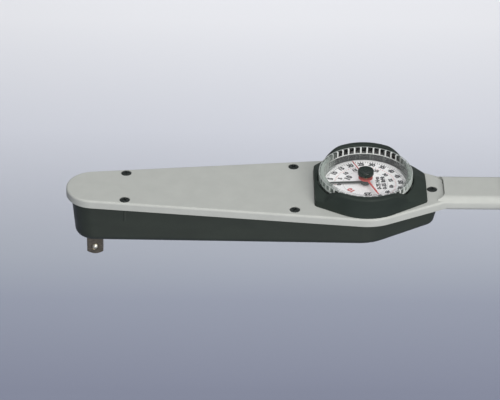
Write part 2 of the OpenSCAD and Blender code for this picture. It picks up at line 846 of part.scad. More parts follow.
// Toothed brass sector on the end of the arm
module gear_sector() color([0.8, 0.65, 0.3])
    difference() {
        translate([0, 0, sector_z]) linear_extrude(sector_t) polygon(sector_points);
        for (side = [-1, 1])
            post(rivet_x, side * rivet_y, sector_z - cut, sector_z + sector_t + cut,
                rivet_r + seat_gap);
    }

// Two rivets through the arm and the sector
module sector_rivets() color([0.75, 0.6, 0.3])
    for (side = [-1, 1]) {
        post(rivet_x, side * rivet_y, arm_z, sector_z + sector_t + eps, rivet_r);
        post(rivet_x, side * rivet_y, sector_z + sector_t, sector_z + sector_t + rivet_head_h,
            rivet_head_r);
    }

// Nut that clamps the eyes of the beam and the arm
module spindle_nut() color([0.55, 0.55, 0.55])
    difference() {
        translate([0, 0, nut_z]) cylinder(h = nut_t, r = nut_w / 2 / cos(30), $fn = 6);
        post(0, 0, nut_z - cut, nut_z + nut_t + cut, head_journal_r + seat_gap);
    }

// Spring-loaded ball that holds a socket
module detent_ball() color([0.85, 0.83, 0.78])
    translate([0, ball_y, ball_z]) sphere(d = ball_d);

// Coil spring behind the ball
module detent_spring() color([0.5, 0.5, 0.5])
    translate([0, detent_start_y, ball_z]) rotate([-90, 0, 0])
        helix(detent_coil_r, ball_bore_end_y - detent_gap - detent_start_y,
            detent_turns, detent_wire_r, detent_rings, detent_sides);

// ---------- movement ----------

// Yoke that holds the end of the flexure beam
module beam_yoke() color([0.4, 0.42, 0.44])
    difference() {
        translate([yoke_x - yoke_w / 2, -yoke_half, yoke_z])
            cube([yoke_w, 2 * yoke_half, yoke_top - yoke_z]);
        translate([yoke_x - yoke_w, -beam_t / 2 - seat_gap, beam_z - clearance])
            cube([2 * yoke_w, beam_t + 2 * seat_gap, beam_h + reach]);
        translate([yoke_x - yoke_w, -arm_sweep_y, arm_z - clearance])
            cube([2 * yoke_w, 2 * arm_sweep_y, reach]);
        for (side = [-1, 1]) {
            post(yoke_x, side * yoke_screw_y, yoke_z - cut, yoke_top + cut,
                small_screw_r + small_screw_play);
            post(yoke_x, side * yoke_screw_y, yoke_z - cut, yoke_z + yoke_sink,
                small_head_r + 2 * small_screw_play);
        }
    }

// Two screws that hold the yoke to the deck
module yoke_screws() color([0.5, 0.5, 0.5])
    for (side = [-1, 1])
        translate([yoke_x, side * yoke_screw_y, yoke_z + yoke_sink]) screw_up(yoke_screw_len);

// Bridge that carries the lower end of the pointer arbor
module movement_bridge() color([0.8, 0.68, 0.35])
    difference() {
        translate([0, 0, bridge_z]) linear_extrude(bridge_t)
            polygon(outline([
                [pillar_x, -pillar_y, bridge_end_r], [pillar_x, pillar_y, bridge_end_r],
                [dial_x, 0, bridge_w / 2]
            ]));
        post(dial_x, 0, bridge_z - cut, bridge_z + bridge_t + cut, pivot_bush_r + seat_gap / 2);
        for (side = [-1, 1])
            post(pillar_x, side * pillar_y, bridge_z - cut, bridge_z + bridge_t + cut,
                small_screw_r + small_screw_play);
    }

// Two screws that hold the bridge to its pillars
module bridge_screws() color([0.5, 0.5, 0.5])
    for (side = [-1, 1])
        translate([pillar_x, side * pillar_y, bridge_z]) screw_up(bridge_screw_len);

// Bush for the lower pivot of the arbor
module pivot_bush() color([0.72, 0.53, 0.3])
    ring(dial_x, 0, bridge_z, bridge_z + bridge_t, pivot_bush_r, pivot_r + run_fit);

// Long bush for the arbor in the deck
module pointer_bush() color([0.72, 0.53, 0.3])
    difference() {
        union() {
            post(dial_x, 0, pointer_bush_z, deck_z + eps, pointer_bush_r);
            post(dial_x, 0, deck_z, deck_z + pointer_bush_flange_t, pointer_bush_flange_r);
        }
        post(dial_x, 0, pointer_bush_z - cut, deck_z + pointer_bush_flange_t + cut,
            arbor_r + run_fit);
    }

// Stud that holds the outer end of the hairspring
module hairspring_stud() color([0.8, 0.68, 0.35])
    post(dial_x + hairspring_r, 0, hairspring_z - collet_rim,
        roof_z + stud_sink - 2 * seat_gap, stud_r);

// One involute point of a pinion flank at a radius
function involute(r, base) =
    let (t = sqrt(max(0, r * r / base / base - 1))) t * 180 / PI - atan(t);

function flank_half(r) =
    let (base = pinion_r * cos(pressure_angle))
    90 / pinion_teeth - backlash / 2 / pinion_r * 180 / PI
    + involute(pinion_r, base) - involute(max(r, base), base);

flank_radii = [
    for (k = [0 : 4])
        pinion_r - pinion_root + (pinion_root + pinion_tip) * k / 4
];

pinion_points = [
    for (i = [0 : pinion_teeth - 1])
        let (a = (i + 0.5) * 360 / pinion_teeth + 180)
        each concat(
            [for (r = flank_radii) polar(r, a - flank_half(r))],
            [for (k = [4 : -1 : 0]) polar(flank_radii[k], a + flank_half(flank_radii[k]))]
        )
];

// Arbor with the pinion that the sector turns
module pinion_arbor() color([0.7, 0.7, 0.72])
    translate([dial_x, 0, 0]) union() {
        post(0, 0, bridge_z + 0.1, arbor_shoulder_z + eps, pivot_r);
        post(0, 0, arbor_shoulder_z, pointer_z + pointer_hub_h - pointer_hub_top, arbor_r);
        translate([0, 0, pinion_z]) linear_extrude(pinion_h) polygon(pinion_points);
    }

// Collet that holds the inner end of the hairspring
module hairspring_collet() color([0.8, 0.68, 0.35])
    ring(dial_x, 0, hairspring_z - collet_rim, hairspring_z + hairspring_h + collet_rim,
        collet_r, arbor_r + seat_gap / 2);

// Flat spiral that takes up the play of the teeth
module hairspring() color([0.35, 0.38, 0.5])
    translate([dial_x, 0, hairspring_z]) linear_extrude(hairspring_h)
        polygon(let (
            steps = 90,
            inner = collet_r + hairspring_wire,
            outer = hairspring_r - stud_r - hairspring_wire,
            centre = [for (k = [0 : steps]) inner + (outer - inner) * k / steps],
            turn = [for (k = [0 : steps]) 360 * hairspring_turns * (k / steps - 1)]
        ) concat(
            [for (k = [0 : steps]) polar(centre[k] + hairspring_wire / 2, turn[k])],
            [for (k = [steps : -1 : 0]) polar(centre[k] - hairspring_wire / 2, turn[k])]
        ));

// Black pointer that shows the torque
module main_pointer() color([0.08, 0.08, 0.08])
    translate([dial_x, 0, pointer_z]) difference() {
        union() {
            cylinder(h = pointer_hub_h, r = pointer_hub_r);
            translate([0, 0, needle_lift]) linear_extrude(needle_t)
                rotate(pointer_rest) polygon([
                    [0, -needle_w / 2], [pointer_len - needle_point, -needle_neck_w / 2],
                    [pointer_len, -needle_point_w / 2], [pointer_len, needle_point_w / 2],
                    [pointer_len - needle_point, needle_neck_w / 2], [0, needle_w / 2]
                ]);
        }
        post(0, 0, -cut, pointer_hub_h - pointer_hub_top + seat_gap, arbor_r + seat_gap / 2);
    }

// ---------- dial and memory pointer ----------

// Felt ring that gives the clear cover its friction
module felt_ring() color([0.25, 0.25, 0.25])
    ring(dial_x, 0, deck_z, deck_z + felt_t, cover_flange_r - 0.1, dial_seat_r);

// Clear cover with a ribbed rim and a sunk window
module clear_cover() color([0.85, 0.9, 0.9, 0.4])
    translate([dial_x, 0, 0]) difference() {
        union() {
            post(0, 0, cover_z, cover_z + cover_flange_t, cover_flange_r);
            post(0, 0, cover_z, cover_top, cover_wall_r);
            for (k = [0 : rib_count - 1])
                rotate([0, 0, 360 * (k + 0.5) / rib_count])
                    translate([cover_wall_r - rib_root, -rib_w / 2, cover_top - rib_h])
                        cube([rib_depth + rib_root, rib_w, rib_h]);
        }
        post(0, 0, cover_z - cut, dial_top, dial_seat_r);
        post(0, 0, cover_z - cut, window_z, cover_bore_r);
        post(0, 0, window_top, cover_top + cut, cover_bore_r);
        post(0, 0, window_z - cut, window_top + cut, knob_bush_r + seat_gap / 2);
    }

// White dial plate
module dial_face() color([0.93, 0.93, 0.92])
    ring(dial_x, 0, dial_top - dial_t, dial_top, dial_r, dial_hole_r);

// Ring that holds the dial plate up in the clear cover
module dial_ring() color([0.2, 0.2, 0.2])
    ring(dial_x, 0, dial_top - dial_t - ring_t, dial_top - dial_t, dial_r, dial_r - ring_w);

// Bush in the window for the memory spindle
module knob_bush() color([0.72, 0.53, 0.3])
    ring(dial_x, 0, window_z, window_top, knob_bush_r, memory_spindle_r + run_fit);

// Spring washer under the memory knob
module knob_washer() color([0.6, 0.6, 0.6])
    ring(dial_x, 0, window_top, knob_z, knob_washer_r, memory_spindle_r + run_fit);

// Spindle that joins the memory knob to the memory pointer
module memory_spindle() color([0.7, 0.7, 0.72])
    post(dial_x, 0, memory_z, knob_z + knob_h / 2, memory_spindle_r);

// Red pointer that keeps the highest reading
module memory_pointer() color([0.8, 0.12, 0.1])
    translate([dial_x, 0, memory_z]) difference() {
        union() {
            cylinder(h = memory_hub_t, r = memory_hub_r);
            linear_extrude(needle_t) rotate(memory_rest) polygon([
                [0, -memory_w / 2], [memory_len - memory_point, -memory_w / 2],
                [memory_len, -memory_point_w / 2], [memory_len, memory_point_w / 2],
                [memory_len - memory_point, memory_w / 2], [0, memory_w / 2],
                [-memory_len, memory_tail_w / 2], [-memory_len, -memory_tail_w / 2]
            ]);
        }
        post(0, 0, -cut, memory_hub_t + cut, memory_spindle_r + seat_gap / 2);
    }

// Knob that resets the memory pointer
module memory_knob() color([0.07, 0.07, 0.07])
    translate([dial_x, 0, knob_z]) difference() {
        union() {
            post(0, 0, seat_gap, knob_h - knob_edge_h + eps, knob_r);
            translate([0, 0, knob_h - knob_edge_h])
                cylinder(h = knob_edge_h, r1 = knob_r, r2 = knob_r - knob_edge);
        }
        post(0, 0, -cut, knob_h / 2 + seat_gap, memory_spindle_r + seat_gap / 2);
    }

upper_body();
lower_case();
case_screws();
dial_guard();
guard_screws();
handle_grip();
grip_end_cap();
grip_end_screw();
drive_bush();
dust_seal();
thrust_washer();
head_bush();
beam_yoke();
yoke_screws();
movement_bridge();
bridge_screws();
pivot_bush();
pointer_bush();
hairspring_stud();
felt_ring();
drive_spindle();
flexure_beam();
arm_spacer();
measuring_arm();
gear_sector();
sector_rivets();
spindle_nut();
detent_ball();
detent_spring();
pinion_arbor();
hairspring_collet();
hairspring();
main_pointer();
clear_cover();
dial_face();
dial_ring();
knob_bush();
knob_washer();
memory_spindle();
memory_pointer();
memory_knob();
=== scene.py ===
"""Dial torque wrench: modelled shells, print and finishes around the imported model."""

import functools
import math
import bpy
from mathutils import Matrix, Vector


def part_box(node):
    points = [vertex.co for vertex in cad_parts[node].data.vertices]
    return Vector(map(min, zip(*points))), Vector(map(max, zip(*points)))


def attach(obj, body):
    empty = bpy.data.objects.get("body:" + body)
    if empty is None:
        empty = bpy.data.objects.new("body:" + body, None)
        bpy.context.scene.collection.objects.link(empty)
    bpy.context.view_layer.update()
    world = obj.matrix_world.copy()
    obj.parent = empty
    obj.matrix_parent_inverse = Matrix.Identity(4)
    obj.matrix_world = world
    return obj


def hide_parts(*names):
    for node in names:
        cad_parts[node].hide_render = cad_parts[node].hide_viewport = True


bl_info = {
    "name": "Dial torque wrench",
    "version": (1, 0, 0),
    "blender": (4, 5, 0),
    "location": "3D View > Sidebar > Torque wrench",
    "description": "Builds the shells, dial and finishes of a dial torque wrench",
    "category": "Add Mesh",
}

import bmesh
import bpy
from bpy.props import FloatProperty, FloatVectorProperty, IntProperty, PointerProperty
from mathutils import Matrix, Vector

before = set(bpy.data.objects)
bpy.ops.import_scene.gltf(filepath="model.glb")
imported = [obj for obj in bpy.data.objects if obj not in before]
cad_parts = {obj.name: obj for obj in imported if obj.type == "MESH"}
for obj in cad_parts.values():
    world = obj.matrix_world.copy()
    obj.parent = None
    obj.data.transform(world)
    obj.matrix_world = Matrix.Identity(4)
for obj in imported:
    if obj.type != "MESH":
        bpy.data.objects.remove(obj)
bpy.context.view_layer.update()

MM = 0.001
FULL_TURN = math.tau
RIGHT_ANGLE = math.pi / 2
ARC_STEP = math.radians(5)
SMOOTH_ANGLE = math.radians(32)
UP = Vector((0, 0, 1))
ALONG_X = Matrix(((0, 0, 1), (1, 0, 0), (0, 1, 0)))  # turns what stands upright along X


# ---------- places taken from the imported model ---


@functools.cache
def low(node):
    """Lowest corner of a node."""
    return Vector(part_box(node)[0]).freeze()


@functools.cache
def high(node):
    """Highest corner of a node."""
    return Vector(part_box(node)[1]).freeze()


def middle(node):
    """Centre of a node's box."""
    return (low(node) + high(node)) / 2


DIAL_X = middle("clear_cover").x
DECK_TOP = low("dial_guard").z
DECK_BOTTOM = high("lower_case").z
DECK_ROOF = high("head_bush").z
CASE_BOTTOM = low("dust_seal").z
NECK_MIDDLE = middle("handle_grip").z
DIAL_TOP = high("dial_face").z
WINDOW_BOTTOM = low("knob_bush").z
WINDOW_TOP = high("knob_bush").z
COVER_TOP = high("clear_cover").z
SCREW_HEAD = 2.9 * MM
FLANGE_WIDTH = 0.7 * MM
PREFIX = "torque_wrench_"


# ---------- sizes and colours that can be changed ----------


def length(name, description, millimetres):
    """A length property, given in millimetres and kept in metres."""
    return FloatProperty(
        name=name, description=description, default=millimetres * MM,
        min=0.0, unit="LENGTH", subtype="DISTANCE", precision=5,
    )


def angle(name, description, degrees):
    """An angle property, given in degrees and kept in radians."""
    return FloatProperty(
        name=name, description=description, default=math.radians(degrees),
        unit="ROTATION", subtype="ANGLE",
    )


def colour(name, description, value):
    """A linear colour property."""
    return FloatVectorProperty(
        name=name, description=description, default=value,
        size=3, min=0.0, max=1.0, subtype="COLOR",
    )


class BodySizes(bpy.types.PropertyGroup):
    """Sizes of the deck, the case below it and the neck."""

    nose_radius: length("Nose radius", "Radius of the deck around the drive", -low("upper_body").x / MM)
    shoulder_radius: length("Shoulder radius", "Radius of the deck beside the dial", 28)
    shoulder_offset: length("Shoulder offset", "Distance of each shoulder from the centre line", 5)
    tail_radius: length("Tail radius", "Radius of the round that ends the deck", 13.3)
    tail_reach: length("Tail reach", "Distance from the dial axis to the tail round", 42.7)
    deck_edge: length("Deck edge", "Round along the top edge of the deck", 1.3)
    nose_overhang: length("Nose overhang", "How far the deck overhangs the nose of the case", 2.9)
    side_overhang: length("Side overhang", "How far the deck overhangs the sides of the case", 2.6)
    case_corner: length("Case corner", "Radius of the corners at the end of the case", 6.5)
    end_reach: length("End reach", "How far the end of the shell passes that of the CAD case", 0.7)
    case_corner_offset: length("Corner offset", "Distance of each case corner from the centre line", 8)
    case_wall: length("Case wall", "Thickness of the case", 2.2)
    case_draft: length("Case draft", "How much the case narrows down to its floor", 0.2)
    end_draft: length("End draft", "How much the case shortens at each end, down to its floor", 1.9)
    case_edge: length("Case edge", "Round along the lower edge of the case", 4.0)
    neck_edge: length("Neck edge", "Round along the edges of the neck", 4.2)
    step_reach: length("Step reach", "Distance from the end of the case to the step", 4)
    step_margin: length("Step margin", "How far the step stays inside the neck's sides", 1.3)
    step_corner: length("Step corner", "Radius of the corners of the step", 4)
    counterbore_sink: length("Counterbore", "Depth of the counterbores of the case screws", 1.2)


class GuardSizes(bpy.types.PropertyGroup):
    """Sizes of the guard around the clear cover."""

    bore_gap: length("Bore gap", "Gap between the clear cover and the guard", 0.4)
    edge_height: length("Edge height", "Height of the outer edge beside the crests", 3.1)
    shoulder_height: length("Shoulder height", "Height beside the clear cover", 6.6)
    shoulder_width: length("Shoulder width", "Width of the level ring beside the cover", 1.2)
    crest_flat: length("Crest flat", "Half length of the level top of a crest", 13.2)
    crest_foot: length("Crest foot", "Half length of a crest at shoulder height", 22.5)
    blend: length("Blend", "Radius of the hollow between crest and shoulder", 1.6)
    crest_round: length("Crest round", "Round of the outer edge along a crest", 1.2)
    edge_round: length("Edge round", "Round of the outer edge beside the crests", 0.35)
    draft: length("Draft", "How much the outer wall leans in over its height", 0.25)
    corner_radius: length("Corner radius", "Radius of the four upright corners", 3)
    front_corner: length("Front corner", "Distance of the front corners from the centre line", 17.4)
    back_corner: length("Back corner", "Distance of the back corners from the centre line", 12.5)
    round_offset: length("Round offset", "Offset of the two broad rounds", 4.3)


class CoverSizes(bpy.types.PropertyGroup):
    """Sizes of the clear cover."""

    rib_depth: length("Rib depth", "How far the ribs stand out", 0.85)
    rib_width: length("Rib width", "Width of one rib", 0.9)
    rib_height: length("Rib height", "Height of the ribs", 4.2)
    rib_count: IntProperty(name="Ribs", description="Number of ribs", default=44, min=12, max=90)
    flange_height: length("Flange height", "Height of the flange under the guard", 1.2)
    wall: length("Wall", "Thickness of the clear wall", 2.4)
    # the skin carries the skirt's painted reflections and painted shade
    shell: length("Shell", "Thickness of the streaked skin of the skirt", 0.45)
    window_round: length("Window round", "Hollow between the window and the rim", 0.7)


class DialSizes(bpy.types.PropertyGroup):
    """Sizes of the dial print and the needles."""

    outer_figures: length("Outer figures", "Radius of the outer ring of figures", 20.5)
    inner_figures: length("Inner figures", "Radius of the inner ring of figures", 15.2)
    core_figures: length("Core figures", "Radius of the bold figures near the hub", 11.2)
    outer_ticks: length("Outer ticks", "Radius at which the outer ticks end", 23.6)
    inner_ticks: length("Inner ticks", "Radius at which the inner ticks end", 18.2)
    figure_height: length("Figure height", "Height of the outer figures", 2.7)
    print_thickness: length("Print thickness", "Thickness of the ink", 0.03)
    scale_turn: angle("Scale turn", "Angle that the scale covers", 270)
    zero_angle: angle("Zero", "Direction of the zero of the scale", 185)


class HandleSizes(bpy.types.PropertyGroup):
    """Sizes of the grip and its end cap."""

    grip_edge: length("Grip edge", "Round along the edges of the grip", 8)
    groove_pitch: length("Groove pitch", "Distance between the grooves of the grip", 7.2)
    groove_depth: length("Groove depth", "Depth of the grooves of the grip", 0.8)
    end_round: length("End round", "Round at both ends of the grip", 2)
    plain_length: length("Plain length", "Length without grooves at the front", 12)
    cap_brim: length("Cap brim", "How far the cap stays inside the grip", 0.5)
    cap_round: length("Cap round", "Round of the end cap", 1.8)


class FinishColours(bpy.types.PropertyGroup):
    """Colours of the main finishes."""

    deck: colour("Deck paint", "Grey of the painted deck", (0.430, 0.440, 0.412))
    case: colour("Case", "Charcoal of the case", (0.0218, 0.0282, 0.0202))
    guard: colour("Guard", "Dark grey of the guard", (0.0252, 0.0330, 0.0282))
    dial: colour("Dial", "White of the dial", (0.93, 0.925, 0.92))
    red: colour("Red", "Red of the peak pointer", (0.56, 0.075, 0.065))
    # floor colours: a painted light fall-off, darker in front of the wrench and paler behind it
    floor_front: colour("Floor, front", "Floor in front of the wrench", (0.239, 0.257, 0.333))
    floor_rise: colour("Floor, rise", "Floor where it starts to grow pale", (0.311, 0.334, 0.406))
    floor_near: colour("Floor, near", "Floor below the wrench", (0.398, 0.423, 0.480))
    floor_far: colour("Floor, far", "Floor behind the wrench", (0.607, 0.620, 0.671))
    floor_back: colour("Floor, back", "Floor at the back", (0.718, 0.720, 0.744))


def sizes(kind):
    """The settings of one kind, kept on the scene."""
    return getattr(bpy.context.scene, PREFIX + kind)


# ---------- mesh tools ----------


def side_normal(a, b):
    """Direction of the outward normal of the straight side from circle a to circle b."""
    run = Vector(b[:2]) - Vector(a[:2])
    return math.atan2(run.y, run.x) - math.acos((a[2] - b[2]) / run.length)


def kind_of(geometry, kind):
    """What is of one kind, such as vertices or faces, in the geometry of an operator."""
    return [g for g in geometry if isinstance(g, kind)]


def add_arc(bm, circle, start, turn, z):
    """Spins one vertex round a circle and returns the two ends of the arc."""
    x, y, radius = circle
    first = bm.verts.new((x + radius * math.cos(start), y + radius * math.sin(start), z))
    spun = bmesh.ops.spin(
        bm, geom=[first], cent=(x, y, z), axis=UP, dvec=(0, 0, 0), angle=turn,
        steps=max(2, round(turn / ARC_STEP)), use_merge=False, use_duplicate=False,
    )
    return first, kind_of(spun["geom_last"], bmesh.types.BMVert)[0]


def add_outline(bm, circles, z):
    """Adds a face stretched around circles (x, y, radius) that run anticlockwise."""
    known = set(bm.edges)
    ends = []
    for i, circle in enumerate(circles):
        start = side_normal(circles[i - 1], circle)
        turn = (side_normal(circle, circles[(i + 1) % len(circles)]) - start) % FULL_TURN
        ends.append(add_arc(bm, circle, start, turn, z))
    for (_, last), (first, _) in zip(ends, ends[1:] + ends[:1]):
        bm.edges.new((last, first))
    edges = [e for e in bm.edges if e not in known]
    return bmesh.ops.contextual_create(bm, geom=edges)["faces"][0]


def extrude(bm, face, vector):
    """Extrudes a face along a vector and returns the face at the far end."""
    made = bmesh.ops.extrude_face_region(bm, geom=[face])["geom"]
    bmesh.ops.translate(bm, verts=kind_of(made, bmesh.types.BMVert), vec=vector)
    return kind_of(made, bmesh.types.BMFace)[0]


def add_prism(bm, circles, bottom, top):
    """Adds an upright prism and returns its lower and upper face."""
    lower = add_outline(bm, circles, bottom)
    return lower, extrude(bm, lower, (0, 0, top - bottom))


def add_posts(bm, *posts):
    """Adds upright cylinders, each as place, bottom, top, radius and, if not 48, segments."""
    for (x, y), bottom, top, radius, *segments in posts:
        bmesh.ops.create_cone(
            bm, cap_ends=True, segments=segments[0] if segments else 48, radius1=radius,
            radius2=radius, depth=top - bottom, matrix=Matrix.Translation((x, y, (top + bottom) / 2)),
        )


def add_block(bm, corner_low, corner_high):
    """Adds a rectangular block between two corners and returns its vertices."""
    a, b = Vector(corner_low), Vector(corner_high)
    placed = Matrix.Translation((a + b) / 2) @ Matrix.Diagonal((*(b - a), 1))
    return bmesh.ops.create_cube(bm, size=1, matrix=placed)["verts"]


def add_lathe(bm, profile, steps=96):
    """Spins (radius, z) points round the Z axis; a profile off the axis closes on itself."""
    verts = [bm.verts.new((radius, 0, z)) for radius, z in profile]
    ahead = verts[1:] + verts[:1] if profile[0][0] else verts[1:]
    edges = [bm.edges.new(pair) for pair in zip(verts, ahead)]
    bmesh.ops.spin(
        bm, geom=verts + edges, cent=(0, 0, 0), axis=UP, dvec=(0, 0, 0), angle=FULL_TURN,
        steps=steps, use_merge=True, use_duplicate=False,
    )
    bmesh.ops.remove_doubles(bm, verts=bm.verts, dist=MM / 1000)


def shape(add, *values):
    """A new shape with one thing added to it."""
    bm = bmesh.new()
    add(bm, *values)
    return bm


def lathe(profile, steps=96):
    """A new shape spun from one profile."""
    return shape(add_lathe, profile, steps)


def added(bm, known):
    """Vertices added since the known ones."""
    return [v for v in bm.verts if v not in known]


def move(bm, verts, *step):
    """Moves vertices by x, y and z."""
    bmesh.ops.translate(bm, verts=verts, vec=step)


def rotate(bm, verts, angle, axis="Z"):
    """Turns vertices about an axis through the origin."""
    bmesh.ops.rotate(bm, verts=verts, cent=(0, 0, 0), matrix=Matrix.Rotation(angle, 3, axis))


def lay_along_x(bm, verts, start):
    """Lays what stands on the origin along the neck, from start."""
    bmesh.ops.rotate(bm, verts=verts, cent=(0, 0, 0), matrix=ALONG_X)
    move(bm, verts, start, 0, NECK_MIDDLE)


def bevel(bm, edges, width, segments=3):
    """Rounds edges."""
    bmesh.ops.bevel(
        bm, geom=list(edges), offset=width, offset_type="OFFSET", segments=segments,
        profile=0.5, affect="EDGES", clamp_overlap=True, material=-1,
    )


def turns(steps):
    """Angles from zero to a right angle."""
    return [RIGHT_ANGLE * i / steps for i in range(steps + 1)]


def rounded_corner(x, z, radius, side=1):
    """Points of a quarter round in a profile, from its side up, or down with side -1."""
    return [(x + radius * math.cos(t), z + side * radius * math.sin(t)) for t in turns(4)]


def rounded_rectangle(width, height, radius):
    """Circles of a rectangle with round corners around the origin."""
    x, y = width / 2 - radius, height / 2 - radius
    return [(-x, -y, radius), (x, -y, radius), (x, y, radius), (-x, y, radius)]


def link_object(name, data):
    """A new object in the scene."""
    piece = bpy.data.objects.new(name, data)
    bpy.context.scene.collection.objects.link(piece)
    return piece


def evaluated_mesh(piece):
    """A copy of what the modifiers or the text of an object make."""
    depsgraph = bpy.context.evaluated_depsgraph_get()
    return bpy.data.meshes.new_from_object(piece.evaluated_get(depsgraph))


def to_object(bm, name):
    """Turns a bmesh into a linked object with clean outward normals."""
    bmesh.ops.remove_doubles(bm, verts=bm.verts, dist=MM / 2000)
    bmesh.ops.recalc_face_normals(bm, faces=bm.faces)
    mesh = bpy.data.meshes.new(name)
    bm.to_mesh(mesh)
    bm.free()
    return link_object(name, mesh)


def apply_modifier(piece, kind, **settings):
    """Replaces the mesh by what one modifier makes of it."""
    modifier = piece.modifiers.new(kind.lower(), kind)
    for setting, value in settings.items():
        setattr(modifier, setting, value)
    mesh, old = evaluated_mesh(piece), piece.data
    piece.modifiers.clear()
    piece.data = mesh
    mesh.name = piece.name
    bpy.data.meshes.remove(old)


def combine(piece, bm, operation):
    """Cuts the shape in bm from a piece, joins it to the piece, or keeps what both share."""
    tool = to_object(bm, piece.name + "_tool")
    apply_modifier(piece, "BOOLEAN", operation=operation, solver="EXACT", use_self=True, object=tool)
    mesh = tool.data
    bpy.data.objects.remove(tool)
    bpy.data.meshes.remove(mesh)
    if not piece.data.polygons:
        raise RuntimeError(f"{piece.name} was lost in a {operation.lower()}")


def soften(piece, width, angle=40, segments=2):
    """Adds a narrow bevel along the sharp edges of a finished piece."""
    apply_modifier(piece, "BEVEL", width=width, segments=segments, limit_method="ANGLE",
                   angle_limit=math.radians(angle), miter_outer="MITER_ARC", use_clamp_overlap=True)


def finish_piece(piece, finish, body, *nodes, slot=None):
    """Gives a piece its finish and its body, and hides the nodes that it stands for; slot is not used."""
    mesh = piece.data
    mesh.materials.clear()
    mesh.materials.append(Finish.made[finish])
    mesh.polygons.foreach_set("use_smooth", [True] * len(mesh.polygons))
    mesh.set_sharp_from_angle(angle=SMOOTH_ANGLE)
    mesh.update()
    apply_modifier(piece, "WEIGHTED_NORMAL", keep_sharp=True, weight=50)
    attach(piece, body)
    if nodes:
        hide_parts(*nodes)


def dial_piece(bm, name, finish, body, *nodes, slot=None):
    """Finishes a shape made round the origin and puts it on the dial axis."""
    piece = to_object(bm, name)
    piece.data.transform(Matrix.Translation((DIAL_X, 0, 0)))
    finish_piece(piece, finish, body, *nodes, slot=slot)


# ---------- finishes ----------


class Finish:
    """Builds a material from patterns on Object coordinates."""

    made = {}

    def __init__(self, name, base, roughness, metallic=0.0, **sockets):
        self.base = base
        self.material = bpy.data.materials.new(name)
        self.material.use_nodes = True
        self.nodes = self.material.node_tree.nodes
        self.links = self.material.node_tree.links
        self.shader = self.nodes["Principled BSDF"].inputs
        sockets.update(Base_Color=(*base, 1), Roughness=roughness, Metallic=metallic)
        for socket, value in sockets.items():
            self.shader[socket.replace("_", " ")].default_value = value
        self.coords = self.nodes.new("ShaderNodeTexCoord").outputs["Object"]
        Finish.made[name] = self.material

    def node(self, kind, inputs, output=0, **settings):
        """Adds a node, whose inputs are values or outputs of others, and returns one output."""
        node = self.nodes.new("ShaderNode" + kind)
        for setting, value in settings.items():
            setattr(node, setting, value)
        for socket, value in inputs.items():
            if isinstance(value, bpy.types.NodeSocket):
                self.links.new(value, node.inputs[socket])
            else:
                node.inputs[socket].default_value = value
        return node.outputs[output]

    def drive(self, socket, value):
        """Lets a pattern drive one socket of the shader."""
        self.links.new(value, self.shader[socket])

    def mapped(self, stretch=(1, 1, 1), centre=(0, 0, 0)):
        """Object coordinates moved and stretched."""
        place = [-c * s for c, s in zip(centre, stretch)]
        return self.node("Mapping", {"Vector": self.coords, "Location": place, "Scale": stretch})

    def noise(self, size, detail=3.0, roughness=0.55, **mapping):
        """Soft noise with features of a size in millimetres."""
        return self.node("TexNoise", {"Vector": self.mapped(**mapping), "Scale": 1 / (size * MM),
                                      "Detail": detail, "Roughness": roughness}, "Fac")

    def cells(self, size):
        """Distance to the nearest of random points, for grain and pebbling."""
        return self.node("TexVoronoi", {"Vector": self.mapped(), "Scale": 1 / (size * MM),
                                        "Smoothness": 0.6}, "Distance", feature="SMOOTH_F1")

    def ramp(self, value, low_in, high_in, low_out, high_out):
        """Maps a value from one range to another, without leaving the new range."""
        return self.node("MapRange", {"Value": value, "From Min": low_in, "From Max": high_in,
                                      "To Min": low_out, "To Max": high_out}, "Result")

    def sum(self, a, b, weight=1.0):
        """The first value plus the second times a weight."""
        return self.node("Math", {0: b, 1: weight, 2: a}, operation="MULTIPLY_ADD")

    def beside(self, near, far, shift):
        """Mask for painted side light: 0 near a line beside the dial's centre line and 1 far from it, in
        millimetres.
        """
        place = self.mapped(centre=(DIAL_X + shift * MM, 0, 0))
        side = self.node("SeparateXYZ", {"Vector": place}, "X")
        size = self.node("Math", {0: side}, operation="ABSOLUTE")
        return self.ramp(size, near * MM, far * MM, 0.0, 1.0)

    def tint(self, factor, dark, light):
        """Colours the surface between two colours, by a factor."""
        inputs = {"Factor": factor, 6: (*dark, 1), 7: (*light, 1)}
        self.drive("Base Color", self.node("Mix", inputs, 2, data_type="RGBA"))

    def shades(self, factor, darker, lighter):
        """Varies the base colour between two multiples of itself, by a factor."""
        dark, light = ([min(1.0, c * shift) for c in self.base] for shift in (darker, lighter))
        self.tint(factor, dark, light)

    def gloss(self, factor, least, most):
        """Varies the roughness between two values, by a factor."""
        self.drive("Roughness", self.ramp(factor, 0.3, 0.7, least, most))

    def relief(self, height, depth, strength=1.0):
        """Raises the surface by a height pattern, up to a depth in millimetres."""
        inputs = {"Height": height, "Distance": depth * MM, "Strength": strength}
        self.drive("Normal", self.node("Bump", inputs))

    def see_through(self, factor):
        """Makes the surface as opaque as the factor says."""
        self.drive("Alpha", factor)
        self.material.surface_render_method = "DITHERED"


def painted_metal(name, base):
    """Fine powder coat on the cast deck."""
    finish = Finish(name, base, 0.5, Specular_IOR_Level=0.2)
    mottle = finish.noise(9, detail=5)
    grain = finish.cells(0.55)
    finish.shades(finish.sum(finish.ramp(mottle, 0.3, 0.7, 0.0, 0.7), grain, 0.3), 0.955, 1.04)
    finish.gloss(finish.noise(3), 0.42, 0.56)
    finish.relief(finish.sum(grain, finish.noise(0.25), 0.4), 0.03, 0.5)


def moulded_plastic(name, base, roughness, grain_size, depth, shine=0.5):
    """Lightly textured moulding with a satin sheen."""
    finish = Finish(name, base, roughness, Specular_IOR_Level=shine)
    flow = finish.noise(14, detail=4, stretch=(0.35, 1, 1))
    finish.shades(finish.ramp(flow, 0.3, 0.7, 0.0, 1.0), 0.86, 1.14)
    finish.gloss(finish.noise(5), roughness - 0.06, roughness + 0.08)
    finish.relief(finish.cells(grain_size), depth, 0.6)


